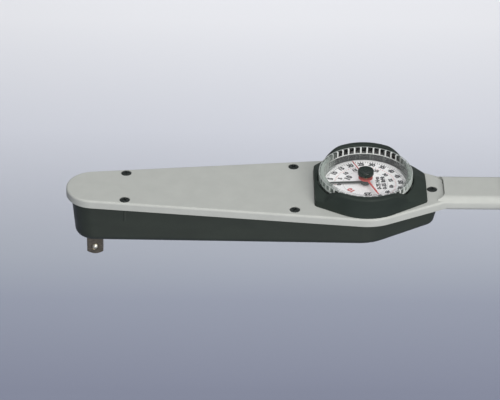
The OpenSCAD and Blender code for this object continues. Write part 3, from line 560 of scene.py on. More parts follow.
def turned_metal(name, base, roughness, scratch=0.5):
    """Machined metal with fine tool marks and a little staining."""
    finish = Finish(name, base, roughness, metallic=1.0)
    marks = finish.noise(scratch, detail=2, stretch=(0.08, 0.08, 1))
    finish.shades(finish.ramp(finish.noise(2.5, detail=4), 0.35, 0.75, 0.0, 1.0), 0.72, 1.12)
    finish.gloss(marks, max(0.08, roughness - 0.08), roughness + 0.12)
    finish.relief(marks, 0.012, 0.6)


def rubber(name, base, depth):
    """Matt rubber with a fine pebble."""
    finish = Finish(name, base, 0.75, Specular_IOR_Level=0.3, Sheen_Weight=0.15)
    pebble = finish.cells(0.9)
    finish.shades(finish.noise(6), 0.8, 1.3)
    finish.gloss(pebble, 0.62, 0.84)
    finish.relief(pebble, depth, 0.8)


def felt(name, base):
    """Dense felt with short fibres."""
    finish = Finish(name, base, 0.95, Sheen_Weight=0.5)
    fibres = finish.noise(0.3, detail=6, roughness=0.8)
    finish.shades(fibres, 0.5, 1.8)
    finish.relief(fibres, 0.15, 0.9)


def dial_paint(name, base):
    """Smooth white lacquer with a faint age tone."""
    finish = Finish(name, base, 0.38, Specular_IOR_Level=0.35)
    aged = [c * fade for c, fade in zip(base, (0.97, 0.965, 0.955))]
    finish.tint(finish.ramp(finish.noise(16), 0.3, 0.7, 0.0, 1.0), aged, base)
    finish.gloss(finish.noise(1.2), 0.32, 0.42)
    finish.relief(finish.noise(0.5), 0.004, 0.4)


def ink(name, base, roughness):
    """Printed or sprayed colour, slightly uneven."""
    finish = Finish(name, base, roughness, Specular_IOR_Level=0.4)
    patch = finish.noise(0.7)
    finish.shades(patch, 0.8, 1.2)
    finish.gloss(patch, roughness - 0.08, roughness + 0.1)
    finish.relief(finish.noise(0.2), 0.006, 0.4)


def clear_finish(name, base, least, most, roughness):
    """Clear plastic that is more opaque where the moulding flows thick."""
    finish = Finish(name, base, roughness, Specular_IOR_Level=0.6, IOR=1.49)
    flow = finish.noise(7, centre=(DIAL_X, 0, 0))
    finish.shades(flow, 0.93, 1)
    finish.see_through(finish.ramp(flow, 0.3, 0.7, least, most))
    finish.relief(finish.noise(1.5, detail=2), 0.01, 0.3)


# reach: where the painted side light starts and where it is full, and the shift of its centre line, in
# millimetres
def streaked_clear(name, dark, light, least, most, streak, reach=(16, 26, 1.5)):
    """Thick clear plastic with painted reflections in upright streaks, and painted light that changes its
    colour towards the sides.
    """
    finish = Finish(name, light, 0.24, Specular_IOR_Level=0.5, IOR=1.49)
    streaks = finish.noise(1.5, roughness=0.7, stretch=(1, 1, 0.05), centre=(DIAL_X, 0, 0))
    # painted light: the side mask plus the upright streaks, setting both the colour and how opaque the
    # surface is
    painted_light = finish.sum(finish.beside(*reach), finish.ramp(streaks, 0.35, 0.65, -0.5, 0.5), streak)
    finish.tint(painted_light, dark, light)
    finish.see_through(finish.ramp(painted_light, 0.1, 0.9, least, most))
    finish.relief(streaks, 0.03, 0.4)


class WRENCH_OT_finishes(bpy.types.Operator):
    """Make every finish of the wrench"""

    bl_idname = "torque_wrench.finishes"
    bl_label = "Finishes"

    # the other finishes: how each is made, its name, and what its maker takes
    recipes = (
        (moulded_plastic, "knob_black", (0.014, 0.023, 0.019), 0.24, 0.6, 0.008, 0.4),
        (rubber, "grip_rubber", (0.02, 0.02, 0.021), 0.12),
        (rubber, "seal_rubber", (0.015, 0.015, 0.015), 0.03),
        (felt, "felt", (0.06, 0.06, 0.06)),
        (ink, "pointer_black", (0.010, 0.013, 0.010), 0.4),
        (ink, "ink_black", (0.011, 0.011, 0.013), 0.5),
        (ink, "ink_red", (0.55, 0.09, 0.08), 0.5),
        (ink, "ink_grey", (0.5, 0.5, 0.5), 0.5),
        (ink, "black_steel", (0.016, 0.020, 0.018), 0.3),
        (turned_metal, "drive_steel", (0.30, 0.255, 0.18), 0.22, 0.35),
        (turned_metal, "ball_steel", (0.97, 0.92, 0.78), 0.42, 2.0),
        (turned_metal, "zinc_steel", (0.55, 0.56, 0.57), 0.34),
        (turned_metal, "tool_steel", (0.30, 0.31, 0.33), 0.32),
        (turned_metal, "spring_steel", (0.25, 0.26, 0.28), 0.3),
        (turned_metal, "arm_aluminium", (0.62, 0.63, 0.65), 0.36, 0.8),
        (turned_metal, "bronze", (0.55, 0.36, 0.18), 0.4, 0.3),
        (turned_metal, "brass", (0.72, 0.54, 0.24), 0.28),
        (clear_finish, "clear_plastic", (0.86, 0.88, 0.88), 0.03, 0.06, 0.08),
        # grey line on the top edge of the rim: a painted highlight
        (clear_finish, "edge_plastic", (0.52, 0.55, 0.53), 0.5, 0.6, 0.35),
        # streaked shells: painted reflections in streaks, with painted light at the sides; the skirt is
        # dark at the back as painted shade
        (streaked_clear, "clear_wall", (0.02, 0.024, 0.022), (0.40, 0.45, 0.41), 0.07, 0.8, 0.3),
        # near-black painted shade put in the grooves between the ribs, grey at the sides
        (streaked_clear, "clear_groove", (0.0015, 0.002, 0.002), (0.33, 0.38, 0.34), 0.93, 0.85, 0.05),
        (streaked_clear, "clear_skirt", (0.003, 0.005, 0.005), (0.30, 0.34, 0.31), 0.92, 0.92, 0.6,
         (18, 28, 1.5)),
        # clear ribs painted white as a painted highlight, greyer towards the sides
        (streaked_clear, "rib_plastic", (0.86, 0.88, 0.86), (0.42, 0.47, 0.43), 0.95, 0.7, 0.15),
    )

    def execute(self, context):
        chosen = sizes("colours")
        painted_metal("deck_paint", chosen.deck)
        dial_paint("dial_white", chosen.dial)
        moulded_plastic("case_plastic", chosen.case, 0.5, 0.5, 0.03)
        moulded_plastic("guard_plastic", chosen.guard, 0.5, 0.35, 0.02, 0.12)
        ink("pointer_red", chosen.red, 0.4)
        for recipe, *values in self.recipes:
            recipe(*values)
        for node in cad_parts.values():
            node.data.materials[0] = Finish.made[node.data.materials[0].name.split(".")[0]]
        return {"FINISHED"}


# ---------- deck, case and handle ----------


def deck_circles():
    """Circles of the deck: the nose, the two shoulders and the tail."""
    body = sizes("body")
    return [
        (0, 0, body.nose_radius),
        (DIAL_X, -body.shoulder_offset, body.shoulder_radius),
        (DIAL_X + body.tail_reach, 0, body.tail_radius),
        (DIAL_X, body.shoulder_offset, body.shoulder_radius),
    ]


def case_circles(inset):
    """Circles of the case, drawn in from its outer face by inset."""
    body = sizes("body")
    side = body.shoulder_radius - body.side_overhang - inset
    corner_x = high("lower_case").x + body.end_reach - body.case_corner
    corner = body.case_corner - inset
    return [
        (0, 0, body.nose_radius - body.nose_overhang - inset),
        (DIAL_X, -body.shoulder_offset, side),
        (corner_x, -body.case_corner_offset, corner),
        (corner_x, body.case_corner_offset, corner),
        (DIAL_X, body.shoulder_offset, side),
    ]


@functools.cache
def screw_spots():
    """Centres of the five case screws, from the corners of their node's solids."""
    screws = []
    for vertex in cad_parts["case_screws"].data.vertices:
        flat = vertex.co.xy
        near = [screw for screw in screws if (screw[0] - flat).length < 8 * MM]
        if near:
            near[0].append(flat)
        else:
            screws.append([flat])
    return [tuple((min(axis) + max(axis)) / 2 for axis in zip(*screw)) for screw in screws]


def floor_height(x):
    """Height of the underside of the case at x."""
    nose = low("lower_case")
    return CASE_BOTTOM + x * (CASE_BOTTOM - nose.z) / -nose.x


class WRENCH_OT_deck(bpy.types.Operator):
    """Cast deck with its neck, pocket, bosses and counterbores"""

    bl_idname = "torque_wrench.deck"
    bl_label = "Deck and neck"

    # screws that hold a part below the deck, that part, and the radius of their bosses
    posts = (("yoke_screws", "beam_yoke", 3.2 * MM), ("bridge_screws", "movement_bridge", 2.6 * MM))
    screw_boss = 4.1 * MM
    head_boss = 8.2 * MM
    ear = 1.9 * MM
    hole = 1.4 * MM
    pointer_hole = 3 * MM
    counterbore = SCREW_HEAD + 0.2 * MM
    groove = 0.35 * MM
    tang = (20 * MM, 8 * MM, 3 * MM)
    grip = low("handle_grip").x

    def add_bar(self, bm, width, height, edge, start, end):
        """Adds a rounded bar along the neck."""
        known = set(bm.verts)
        add_prism(bm, rounded_rectangle(width, height, edge), 0, end - start)
        lay_along_x(bm, added(bm, known), start)

    def neck(self, body, step_x):
        """Rounded bar from the deck to the grip, stepped down to the deck at its start."""
        start = high("lower_case").x + 0.3 * MM
        top = high("upper_body").z
        width = 2 * body.tail_radius
        bm = shape(self.add_bar, width, 2 * (top - NECK_MIDDLE), body.neck_edge, start, self.grip)
        neck = to_object(bm, "neck_bar")
        long = step_x - start + 2 * body.step_corner
        step = rounded_rectangle(long, width - 2 * body.step_margin, body.step_corner)
        cut = shape(add_prism, step, DECK_TOP, top + MM)
        move(cut, cut.verts, step_x - long / 2, 0, 0)
        combine(neck, cut, "DIFFERENCE")
        return neck

    def execute(self, context):
        body = sizes("body")
        bm = bmesh.new()
        _, upper = add_prism(bm, deck_circles(), DECK_BOTTOM, DECK_TOP)
        bevel(bm, upper.edges, body.deck_edge, 5)
        deck = to_object(bm, "deck_and_neck")
        step_x = high("lower_case").x + body.step_reach
        neck = self.neck(body, step_x)
        union = shape(bmesh.types.BMesh.from_mesh, neck.data)
        bpy.data.objects.remove(neck)
        combine(deck, union, "UNION")
        half = body.tail_radius - body.step_margin - body.step_corner
        combine(deck, shape(
            add_block, (step_x - self.groove, -half, DECK_TOP - 1.2 * MM),
            (step_x + self.groove, half, high("upper_body").z + MM),
        ), "DIFFERENCE")
        pocket = case_circles(body.case_wall)
        combine(deck, shape(add_prism, pocket, DECK_BOTTOM - MM, DECK_ROOF), "DIFFERENCE")

        roof = DECK_ROOF + 0.5 * MM
        head = low("head_bush").z
        bosses = shape(add_posts, *(
            (spot, DECK_BOTTOM, roof, self.screw_boss) for spot in screw_spots()
        ), *(
            ((middle(screws).x, side * (high(screws).y - self.ear)), high(seat).z, roof, radius)
            for side in (-1, 1) for screws, seat, radius in self.posts
        ), ((0, 0), head, roof, self.head_boss))
        self.add_bar(bosses, *self.tang, self.grip - 2 * MM, high("upper_body").x)
        combine(deck, bosses, "UNION")
        combine(deck, shape(
            add_posts, ((0, 0), head - MM, DECK_ROOF, high("head_bush").x),
            ((DIAL_X, 0), DECK_BOTTOM - MM, DECK_TOP + MM, self.pointer_hole),
            *((spot, DECK_BOTTOM - MM, DECK_TOP - MM, self.hole, 32) for spot in screw_spots()),
        ), "DIFFERENCE")
        sunk = DECK_TOP - body.counterbore_sink
        combine(deck, shape(add_posts, *(
            (spot, sunk, DECK_TOP + MM, self.counterbore) for spot in screw_spots()
        )), "DIFFERENCE")
        soften(deck, 0.22 * MM)
        finish_piece(deck, "deck_paint", "frame", "upper_body")
        return {"FINISHED"}


class WRENCH_OT_case(bpy.types.Operator):
    """Moulded case with draft, a sloping floor and a rounded lower edge"""

    bl_idname = "torque_wrench.case"
    bl_label = "Case"

    boss = 1.45 * MM
    boss_height = 9.1 * MM
    pilot = 1.25 * MM
    bush_wall = 0.6 * MM

    def shell(self, body, inset, lift):
        """Solid between the deck and the sloping floor, narrower at its floor."""
        bm = bmesh.new()
        floor, _ = add_prism(bm, case_circles(inset), 0, DECK_BOTTOM)
        ends = [v.co.x for v in floor.verts]
        centre, half = (max(ends) + min(ends)) / 2, (max(ends) - min(ends)) / 2
        wide = max(v.co.y for v in floor.verts)
        for vertex in floor.verts:
            vertex.co.x = centre + (vertex.co.x - centre) * (1 - body.end_draft / half)
            vertex.co.y *= 1 - body.case_draft / wide
            vertex.co.z = floor_height(vertex.co.x) + lift
        return bm, list(floor.edges)

    def execute(self, context):
        body = sizes("body")
        bm, floor_edges = self.shell(body, 0, 0)
        bevel(bm, floor_edges, body.case_edge, 7)
        case = to_object(bm, "case_shell")
        cavity, _ = self.shell(body, body.case_wall, body.case_wall)
        move(cavity, [v for v in cavity.verts if v.co.z > DECK_BOTTOM - MM / 100], 0, 0, MM)
        combine(case, cavity, "DIFFERENCE")
        bush = high("drive_bush")
        foot = DECK_BOTTOM - self.boss_height
        combine(case, shape(
            add_posts, ((0, 0), CASE_BOTTOM + body.case_wall / 2, bush.z - MM, bush.x + self.bush_wall),
            *((spot, foot, DECK_BOTTOM, self.boss, 32) for spot in screw_spots()),
        ), "UNION")
        combine(case, shape(
            add_posts, ((0, 0), 0, bush.z + MM, high("dust_seal").x + 0.02 * MM, 64),
            *((spot, foot + MM, DECK_BOTTOM + MM, self.pilot, 24) for spot in screw_spots()),
        ), "DIFFERENCE")
        soften(case, 0.25 * MM)
        finish_piece(case, "case_plastic", "frame", "lower_case")
        return {"FINISHED"}


def add_screw(bm, place, head_radius, head_height, shank_radius, shank_length):
    """Adds a low domed head on its shank, upright at a place."""
    known = set(bm.verts)
    dome = [(head_radius * math.cos(t), head_height * (0.62 + 0.38 * math.sin(t))) for t in turns(6)]
    add_lathe(bm, [
        (0, -shank_length), (shank_radius * 0.7, -shank_length),
        (shank_radius, -shank_length + shank_radius * 0.5), (shank_radius, 0),
        (head_radius * 0.97, 0), *dome[:-1], (0, head_height),
    ], 40)
    move(bm, added(bm, known), *place)


def cross_recess(place, head_radius, head_height, angle):
    """Tool that cuts a cross into a screw head."""
    bm = bmesh.new()
    long, half = head_radius * 0.6, head_radius * 0.13
    for quarter in (0, RIGHT_ANGLE):
        verts = add_block(bm, (-long, -half, head_height * 0.4), (long, half, head_height * 2))
        rotate(bm, verts, angle + quarter)
    move(bm, bm.verts, *place)
    return bm


class WRENCH_OT_screws(bpy.types.Operator):
    """Five blackened case screws with cross recesses, and the screw of the end cap"""

    bl_idname = "torque_wrench.screws"
    bl_label = "Screws"

    shank = 1.2 * MM
    cap_head = 2.2 * MM
    cap_shank = 2 * MM
    soft_edge = 0.12 * MM

    def execute(self, context):
        seat = DECK_TOP - sizes("body").counterbore_sink
        head = high("case_screws").z - seat
        reach_down = seat - low("case_screws").z
        bm = bmesh.new()
        for spot in screw_spots():
            add_screw(bm, (*spot, seat), SCREW_HEAD, head, self.shank, reach_down)
        screws = to_object(bm, "case_screw_set")
        for i, spot in enumerate(screw_spots()):
            angle = math.radians(25 + 37 * i)
            combine(screws, cross_recess((*spot, seat), SCREW_HEAD, head, angle), "DIFFERENCE")
        soften(screws, self.soft_edge, segments=1)
        finish_piece(screws, "black_steel", "frame", "case_screws")

        end, radius, origin = high("grip_end_screw").x, high("grip_end_screw").y, (0, 0, 0)
        long = end - self.cap_head - low("grip_end_screw").x
        cap_screw = to_object(
            shape(add_screw, origin, radius, self.cap_head, self.cap_shank, long), "end_cap_screw",
        )
        combine(cap_screw, cross_recess(origin, radius, self.cap_head, 0.5), "DIFFERENCE")
        soften(cap_screw, self.soft_edge, segments=1)
        place = Matrix.Translation((end - self.cap_head, 0, NECK_MIDDLE))
        cap_screw.data.transform(place @ Matrix.Rotation(RIGHT_ANGLE, 4, "Y"))
        finish_piece(cap_screw, "zinc_steel", "frame", "grip_end_screw")
        return {"FINISHED"}


def sleeve(stations, width, height, edge):
    """Rounded bar along X, lofted through (x, inset) stations."""
    bm = bmesh.new()
    face = add_outline(bm, rounded_rectangle(width, height, edge), 0)
    x, inset = stations[0][0], 0
    lay_along_x(bm, face.verts, x)
    for i, (next_x, next_inset) in enumerate(stations):
        if i:
            face = extrude(bm, face, (next_x - x, 0, 0))
        ratios = ((full - 2 * next_inset) / (full - 2 * inset) for full in (width, height))
        bmesh.ops.scale(bm, verts=face.verts, vec=(1, *ratios),
                        space=Matrix.Translation((0, 0, -NECK_MIDDLE)))
        x, inset = next_x, next_inset
    return bm


class WRENCH_OT_handle(bpy.types.Operator):
    """Grooved rubber grip and its end cap"""

    bl_idname = "torque_wrench.handle"
    bl_label = "Handle"

    groove_share = 0.4
    soft = 0.3 * MM
    plug_inset = 3 * MM
    screw_hole = 2.1 * MM
    head_hole = 3.8 * MM
    head_depth = 2.3 * MM
    far = 60 * MM

    def wall(self, x, before, after):
        """Stations of one softened wall of a groove."""
        near = 0.3 * self.soft
        rise = math.copysign(near, after - before)
        return [(x - self.soft, before), (x - near, before + rise),
                (x + near, after - rise), (x + self.soft, after)]

    def execute(self, context):
        handle = sizes("handle")
        a, b = low("handle_grip"), high("handle_grip")
        section = (b.y - a.y, b.z - a.z, handle.grip_edge)
        edge = handle.end_round
        ends = [(edge * (1 - math.cos(t)), edge * (1 - math.sin(t))) for t in turns(5)]
        stations = [(a.x + along, inset) for along, inset in ends]
        x = a.x + handle.plain_length
        while x < high("upper_body").x - handle.plain_length:
            stations += self.wall(x, 0, handle.groove_depth)
            stations += self.wall(x + handle.groove_pitch * self.groove_share, handle.groove_depth, 0)
            x += handle.groove_pitch
        stations += [(b.x - along, inset) for along, inset in reversed(ends)]
        grip = to_object(sleeve(stations, *section), "grip_sleeve")
        finish_piece(grip, "grip_rubber", "frame", "handle_grip")

        brim, cap_round = handle.cap_brim, handle.cap_round
        start = high("grip_end_cap").x - cap_round
        cap = to_object(sleeve([
            (low("grip_end_cap").x, self.plug_inset), (b.x, self.plug_inset),
            (b.x + 0.05 * MM, brim), (b.x + 0.6 * MM, brim),
            *((start + cap_round * math.sin(t), brim + cap_round * (1 - math.cos(t))) for t in turns(6)),
        ], *section), "grip_cap")
        screw_start, screw_end = low("grip_end_screw").x, high("grip_end_screw").x
        seat = screw_end - screw_start - self.head_depth
        hole = shape(add_posts, ((0, 0), 0, self.far, self.screw_hole, 32),
                     ((0, 0), seat, self.far, self.head_hole))
        rotate(hole, hole.verts, RIGHT_ANGLE, "Y")
        move(hole, hole.verts, screw_start, 0, NECK_MIDDLE)
        combine(cap, hole, "DIFFERENCE")
        soften(cap, 0.2 * MM, 45)
        finish_piece(cap, "case_plastic", "frame", "grip_end_cap")
        return {"FINISHED"}


# ---------- guard ----------


def guard_circles():
    """Circles of the guard's outline, around the dial axis."""
    guard = sizes("guard")
    a, b = low("dial_guard"), high("dial_guard")
    corner = guard.corner_radius
    broad = b.y - guard.round_offset
    left, right = a.x + corner - DIAL_X, b.x - corner - DIAL_X
    return [
        (left, guard.front_corner, corner), (left, -guard.front_corner, corner),
        (0, -guard.round_offset, broad),
        (right, -guard.back_corner, corner), (right, guard.back_corner, corner),
        (0, guard.round_offset, broad),
    ]


def reach(circles, direction):
    """Distance from the dial axis to the outline around circles, in one direction.

    Each line that touches the outline bounds it. The nearest of them, among those
    whose normals lie within 80 degrees of the direction, gives the distance.
    """
    best = 1.0
    for half_degrees in range(-160, 161):
        turn = math.radians(half_degrees / 2)
        x, y = math.cos(direction + turn), math.sin(direction + turn)
        extent = max(cx * x + cy * y + radius for cx, cy, radius in circles)
        best = min(best, extent / math.cos(turn))
    return best


def smooth_max(a, b, blend):
    """The larger of two heights, with a rounded hollow where they meet."""
    part = max(0.0, blend - abs(a - b)) / blend
    return max(a, b) + part * part * blend / 4


class WRENCH_OT_guard(bpy.types.Operator):
    """Guard with two crests that blend into its sloping shoulders"""

    bl_idname = "torque_wrench.guard"
    bl_label = "Guard"

    steps = 432
    across = 14
    lip = 0.5 * MM
    foot = 0.15 * MM
    spacing = 0.01

    def surface(self, guard, x, radius):
        """Height of the top over the deck."""
        level = self.bore + guard.shoulder_width
        slope = (guard.shoulder_height - guard.edge_height) / (high("dial_guard").x - DIAL_X - level)
        base = guard.shoulder_height - slope * max(0.0, radius - level)
        past = max(0.0, abs(x) - guard.crest_flat)
        fall = (self.crest - guard.shoulder_height) / (guard.crest_foot - guard.crest_flat) ** 2
        return smooth_max(base, self.crest - fall * past * past, guard.blend)

    def section(self, guard, angle, outer):
        """Closed section of the guard in one direction, as (radius, height) points."""
        along = math.cos(angle)
        edge_height = self.surface(guard, outer * along, outer)
        crestness = (edge_height - guard.edge_height) / (self.crest - guard.edge_height)
        crestness = min(1.0, max(0.0, crestness * 1.15 - 0.1))
        rounding = guard.edge_round + (guard.crest_round - guard.edge_round) * crestness ** 0.7
        rounding = min(rounding, (outer - self.bore) * 0.55)
        top_end = outer - guard.draft - rounding
        inner = self.surface(guard, self.bore * along, self.bore)
        points = [(self.recess, 0.0), (self.recess, self.recess_height), (self.bore, self.recess_height)]
        points += [(self.bore + self.lip * (1 - math.cos(t)), inner - self.lip * (1 - math.sin(t)))
                   for t in turns(3)]
        start = self.bore + self.lip
        for i in range(1, self.across + 1):
            radius = start + (top_end - start) * i / self.across
            points.append((radius, self.surface(guard, radius * along, radius)))
        top = points[-1][1]
        points += [(top_end + rounding * math.sin(t), top - rounding * (1 - math.cos(t)))
                   for t in turns(6)[1:]]
        return points + [(outer - guard.draft * 0.5, (top - rounding) * 0.5),
                         (outer, self.foot), (outer - self.foot, 0.0)]

    def execute(self, context):
        guard = sizes("guard")
        flange = high("clear_cover").x - DIAL_X
        self.bore = flange - FLANGE_WIDTH + guard.bore_gap
        self.recess = flange + 0.3 * MM
        self.recess_height = (low("clear_cover").z - DECK_TOP + sizes("cover").flange_height
                              + 0.2 * MM)
        self.crest = high("dial_guard").z - DECK_TOP
        circles = guard_circles()
        count = len(self.section(guard, 0, self.bore * 1.2))
        bm = lathe([(1 + i * self.spacing, 0) for i in range(count)], self.steps)
        sections = {}
        for vertex in bm.verts:
            angle = math.atan2(vertex.co.y, vertex.co.x)
            key = round(angle / FULL_TURN * self.steps) % self.steps
            if key not in sections:
                sections[key] = self.section(guard, angle, reach(circles, angle))
            index = round((math.hypot(vertex.co.x, vertex.co.y) - 1) / self.spacing)
            radius, height = sections[key][index]
            vertex.co = (DIAL_X + radius * math.cos(angle), radius * math.sin(angle), DECK_TOP + height)
        finish_piece(to_object(bm, "guard_shell"), "guard_plastic", "frame", "dial_guard")
        return {"FINISHED"}


# ---------- drive ----------


class WRENCH_OT_drive(bpy.types.Operator):
    """Drive square with its collar, journals and flange"""

    bl_idname = "torque_wrench.drive"
    bl_label = "Drive"

    half = 9.525 * MM / 2
    long = 11 * MM
    edge = 1.2 * MM
    collar, head, shank = 6.5 * MM, 4 * MM, 4.5 * MM
    tip_height = 1.6 * MM
    tip_spread = 2 * MM
    mouth = 0.25 * MM
    soft = 0.3 * MM

    def turned_tip(self):
        """Tool that keeps what lies inside a cone at the end of the square."""
        start = self.half - 0.3 * MM
        slope = self.tip_spread / self.tip_height
        wide, tall = 30 * MM, 90 * MM
        return lathe([
            (0, -MM), (start - slope * MM, -MM), (start - slope * 0.2 * MM, -0.2 * MM),
            (start + self.tip_spread, self.tip_height), (wide, self.tip_height), (wide, tall), (0, tall),
        ])

    def ball_hole(self):
        """Tool for the bore of the ball, with its narrower mouth and a broken rim."""
        radius = (high("detent_ball").x - low("detent_ball").x) / 2
        bore, neck, rim = radius + 0.04 * MM, radius - 0.05 * MM, 0.2 * MM
        face, end = -self.half, self.half * 0.55
        bm = lathe([
            (0, face - MM), (neck + rim + MM, face - MM), (neck, face + rim), (neck, face + self.mouth),
            (bore, face + self.mouth), (bore, end), (0, end),
        ], 48)
        rotate(bm, bm.verts, -RIGHT_ANGLE, "X")
        move(bm, bm.verts, 0, 0, middle("detent_ball").z)
        return bm

    def execute(self, context):
        flange, top = high("drive_spindle").x, high("drive_spindle").z
        journal, nut = low("thrust_washer").z, low("spindle_nut").z
        flange_low, flange_high = high("thrust_washer").z + 0.05 * MM, low("flexure_beam").z
        collar, head, soft, long, half = self.collar, self.head, self.soft, self.long, self.half
        bm = lathe([
            (0, long), (collar - soft, long), (collar, long + soft), (collar, journal),
            (collar, flange_low), (flange - soft, flange_low), (flange, flange_low + soft),
            (flange, flange_high - soft), (flange - soft, flange_high), (head, flange_high),
            (head, nut), (head, top - soft), (head - soft, top), (0, top),
        ], 72)
        verts = add_block(bm, (-half, -half, 0), (half, half, long + MM))
        bevel(bm, {e for v in verts for e in v.link_edges
                   if abs(e.verts[0].co.z - e.verts[1].co.z) > MM}, self.edge, 5)
        add_block(bm, (-self.shank, -self.shank, flange_high - MM), (self.shank, self.shank, nut))
        spindle = to_object(bm, "drive_square")
        combine(spindle, self.turned_tip(), "INTERSECT")
        combine(spindle, self.ball_hole(), "DIFFERENCE")
        soften(spindle, 0.12 * MM)
        finish_piece(spindle, "drive_steel", "drive", "drive_spindle")
        return {"FINISHED"}


# ---------- clear cover ----------


class WRENCH_OT_cover(bpy.types.Operator):
    """Clear cover: window, rim, skirt, flange and ribs"""

    bl_idname = "torque_wrench.cover"
    bl_label = "Clear cover"

    hole = 2.45 * MM
    slit = 0.02 * MM
    soft = 0.2 * MM
    top_round = 0.35 * MM
    line = 0.24 * MM
    foot = 0.4 * MM

    def rings(self, cover, flange, rib, wall, rim_low):
        """The rings of the cover, each as name, finish and profile."""
        bore, shell = wall - cover.wall, wall - cover.shell
        seat = high("dial_face").x - DIAL_X + 0.1 * MM
        bottom, step = low("clear_cover").z, DIAL_TOP + self.slit
        shelf, groove_top = bottom + cover.flange_height, COVER_TOP - 0.4 * MM
        slit, soft, top_round = self.slit, self.soft, self.top_round
        edge = rib - 0.05 * MM
        return (
            ("cover_wall", "clear_wall", [
                (bore, step), (shell - slit, step), (shell - slit, groove_top + slit),
                (wall, groove_top + slit), (wall, COVER_TOP - top_round), (wall - top_round, COVER_TOP),
                (bore + top_round, COVER_TOP), (bore, COVER_TOP - top_round)]),
            # near-black painted shade that fills the grooves between the ribs
            ("cover_grooves", "clear_groove", [
                (shell, rim_low + slit), (wall, rim_low + slit), (wall, groove_top),
                (shell, groove_top)]),
            # thin grey ring along the rim's top edge: a painted highlight
            ("cover_edge", "edge_plastic", [
                (edge - 0.5 * MM, COVER_TOP - self.line), (edge, COVER_TOP - self.line),
                (edge, COVER_TOP - 0.1 * MM), (edge - 0.1 * MM, COVER_TOP),
                (edge - 0.5 * MM, COVER_TOP)]),
            ("cover_skirt", "clear_skirt", [
                (seat, bottom), (flange - soft, bottom), (flange, bottom + soft),
                (flange, shelf - soft), (flange - soft, shelf), (wall, shelf), (wall, rim_low),
                (shell, rim_low), (shell, step), (seat, step)]),
        )

    def execute(self, context):
        cover = sizes("cover")
        flange = high("clear_cover").x - DIAL_X
        rib = flange - FLANGE_WIDTH
        wall = rib - cover.rib_depth
        rim_low = COVER_TOP - cover.rib_height
        side, hollow = wall - cover.wall + 0.1 * MM, cover.window_round
        round_x = wall - cover.wall - hollow
        bm = lathe([
            (self.hole, WINDOW_BOTTOM), (side, WINDOW_BOTTOM), (side, WINDOW_TOP + hollow),
            *rounded_corner(round_x, WINDOW_TOP + hollow, hollow, -1), (self.hole, WINDOW_TOP),
        ], 128)
        dial_piece(bm, "cover_window", "clear_plastic", "dial", "clear_cover")
        for name, finish, profile in self.rings(cover, flange, rib, wall, rim_low):
            dial_piece(lathe(profile, 144), name, finish, "dial", slot="clear_plastic")

        root, edge, foot = wall - cover.shell - 0.15 * MM, rib - 0.05 * MM, rim_low + self.foot
        bm = lathe([(root, rim_low), (edge, rim_low), (edge, foot), (root, foot)], 144)
        half = cover.rib_width / 2
        for i in range(cover.rib_count):
            known = set(bm.verts)
            verts = add_block(bm, (root, -half, foot - self.slit),
                              (rib, half, COVER_TOP - self.line - self.slit))
            bevel(bm, {e for v in verts for e in v.link_edges
                       if all(u.co.x > rib - MM / 10 for u in e.verts)}, self.soft, 2)
            rotate(bm, added(bm, known), FULL_TURN * (i + 0.5) / cover.rib_count)
        # the clear ribs are painted white as a painted highlight
        dial_piece(bm, "cover_ribs", "rib_plastic", "dial", slot="clear_plastic")
        return {"FINISHED"}


# ---------- dial ----------


FONT_SIZE = 1.38  # of the built-in font, for figures of height 1
FONT_WEIGHT = 0.085  # how far its outlines grow, for bold figures


def add_text(bm, words, height, radius, angle, turn=0.0):
    """Adds printed words at a radius and angle on the dial; turn is from upright outward."""
    thickness = sizes("dial").print_thickness
    data = bpy.data.curves.new("print", "FONT")
    data.body = words
    data.size = height * FONT_SIZE
    data.align_x = data.align_y = "CENTER"
    data.extrude = thickness / 2
    data.offset = height * FONT_WEIGHT
    data.resolution_u = 3
    holder = link_object("print", data)
    bpy.context.view_layer.update()
    mesh = evaluated_mesh(holder)
    centre = (radius * math.cos(angle), radius * math.sin(angle), DIAL_TOP + thickness / 2)
    mesh.transform(Matrix.Translation(centre) @ Matrix.Rotation(angle - RIGHT_ANGLE + turn, 4, "Z"))
    bm.from_mesh(mesh)
    bpy.data.objects.remove(holder)
    bpy.data.curves.remove(data)
    bpy.data.meshes.remove(mesh)


def add_tick(bm, angle, outer, long, width):
    """Adds one radial tick on the dial."""
    top = DIAL_TOP + sizes("dial").print_thickness
    verts = add_block(bm, (outer - long * MM, -width * MM / 2, DIAL_TOP), (outer, width * MM / 2, top))
    rotate(bm, verts, angle)


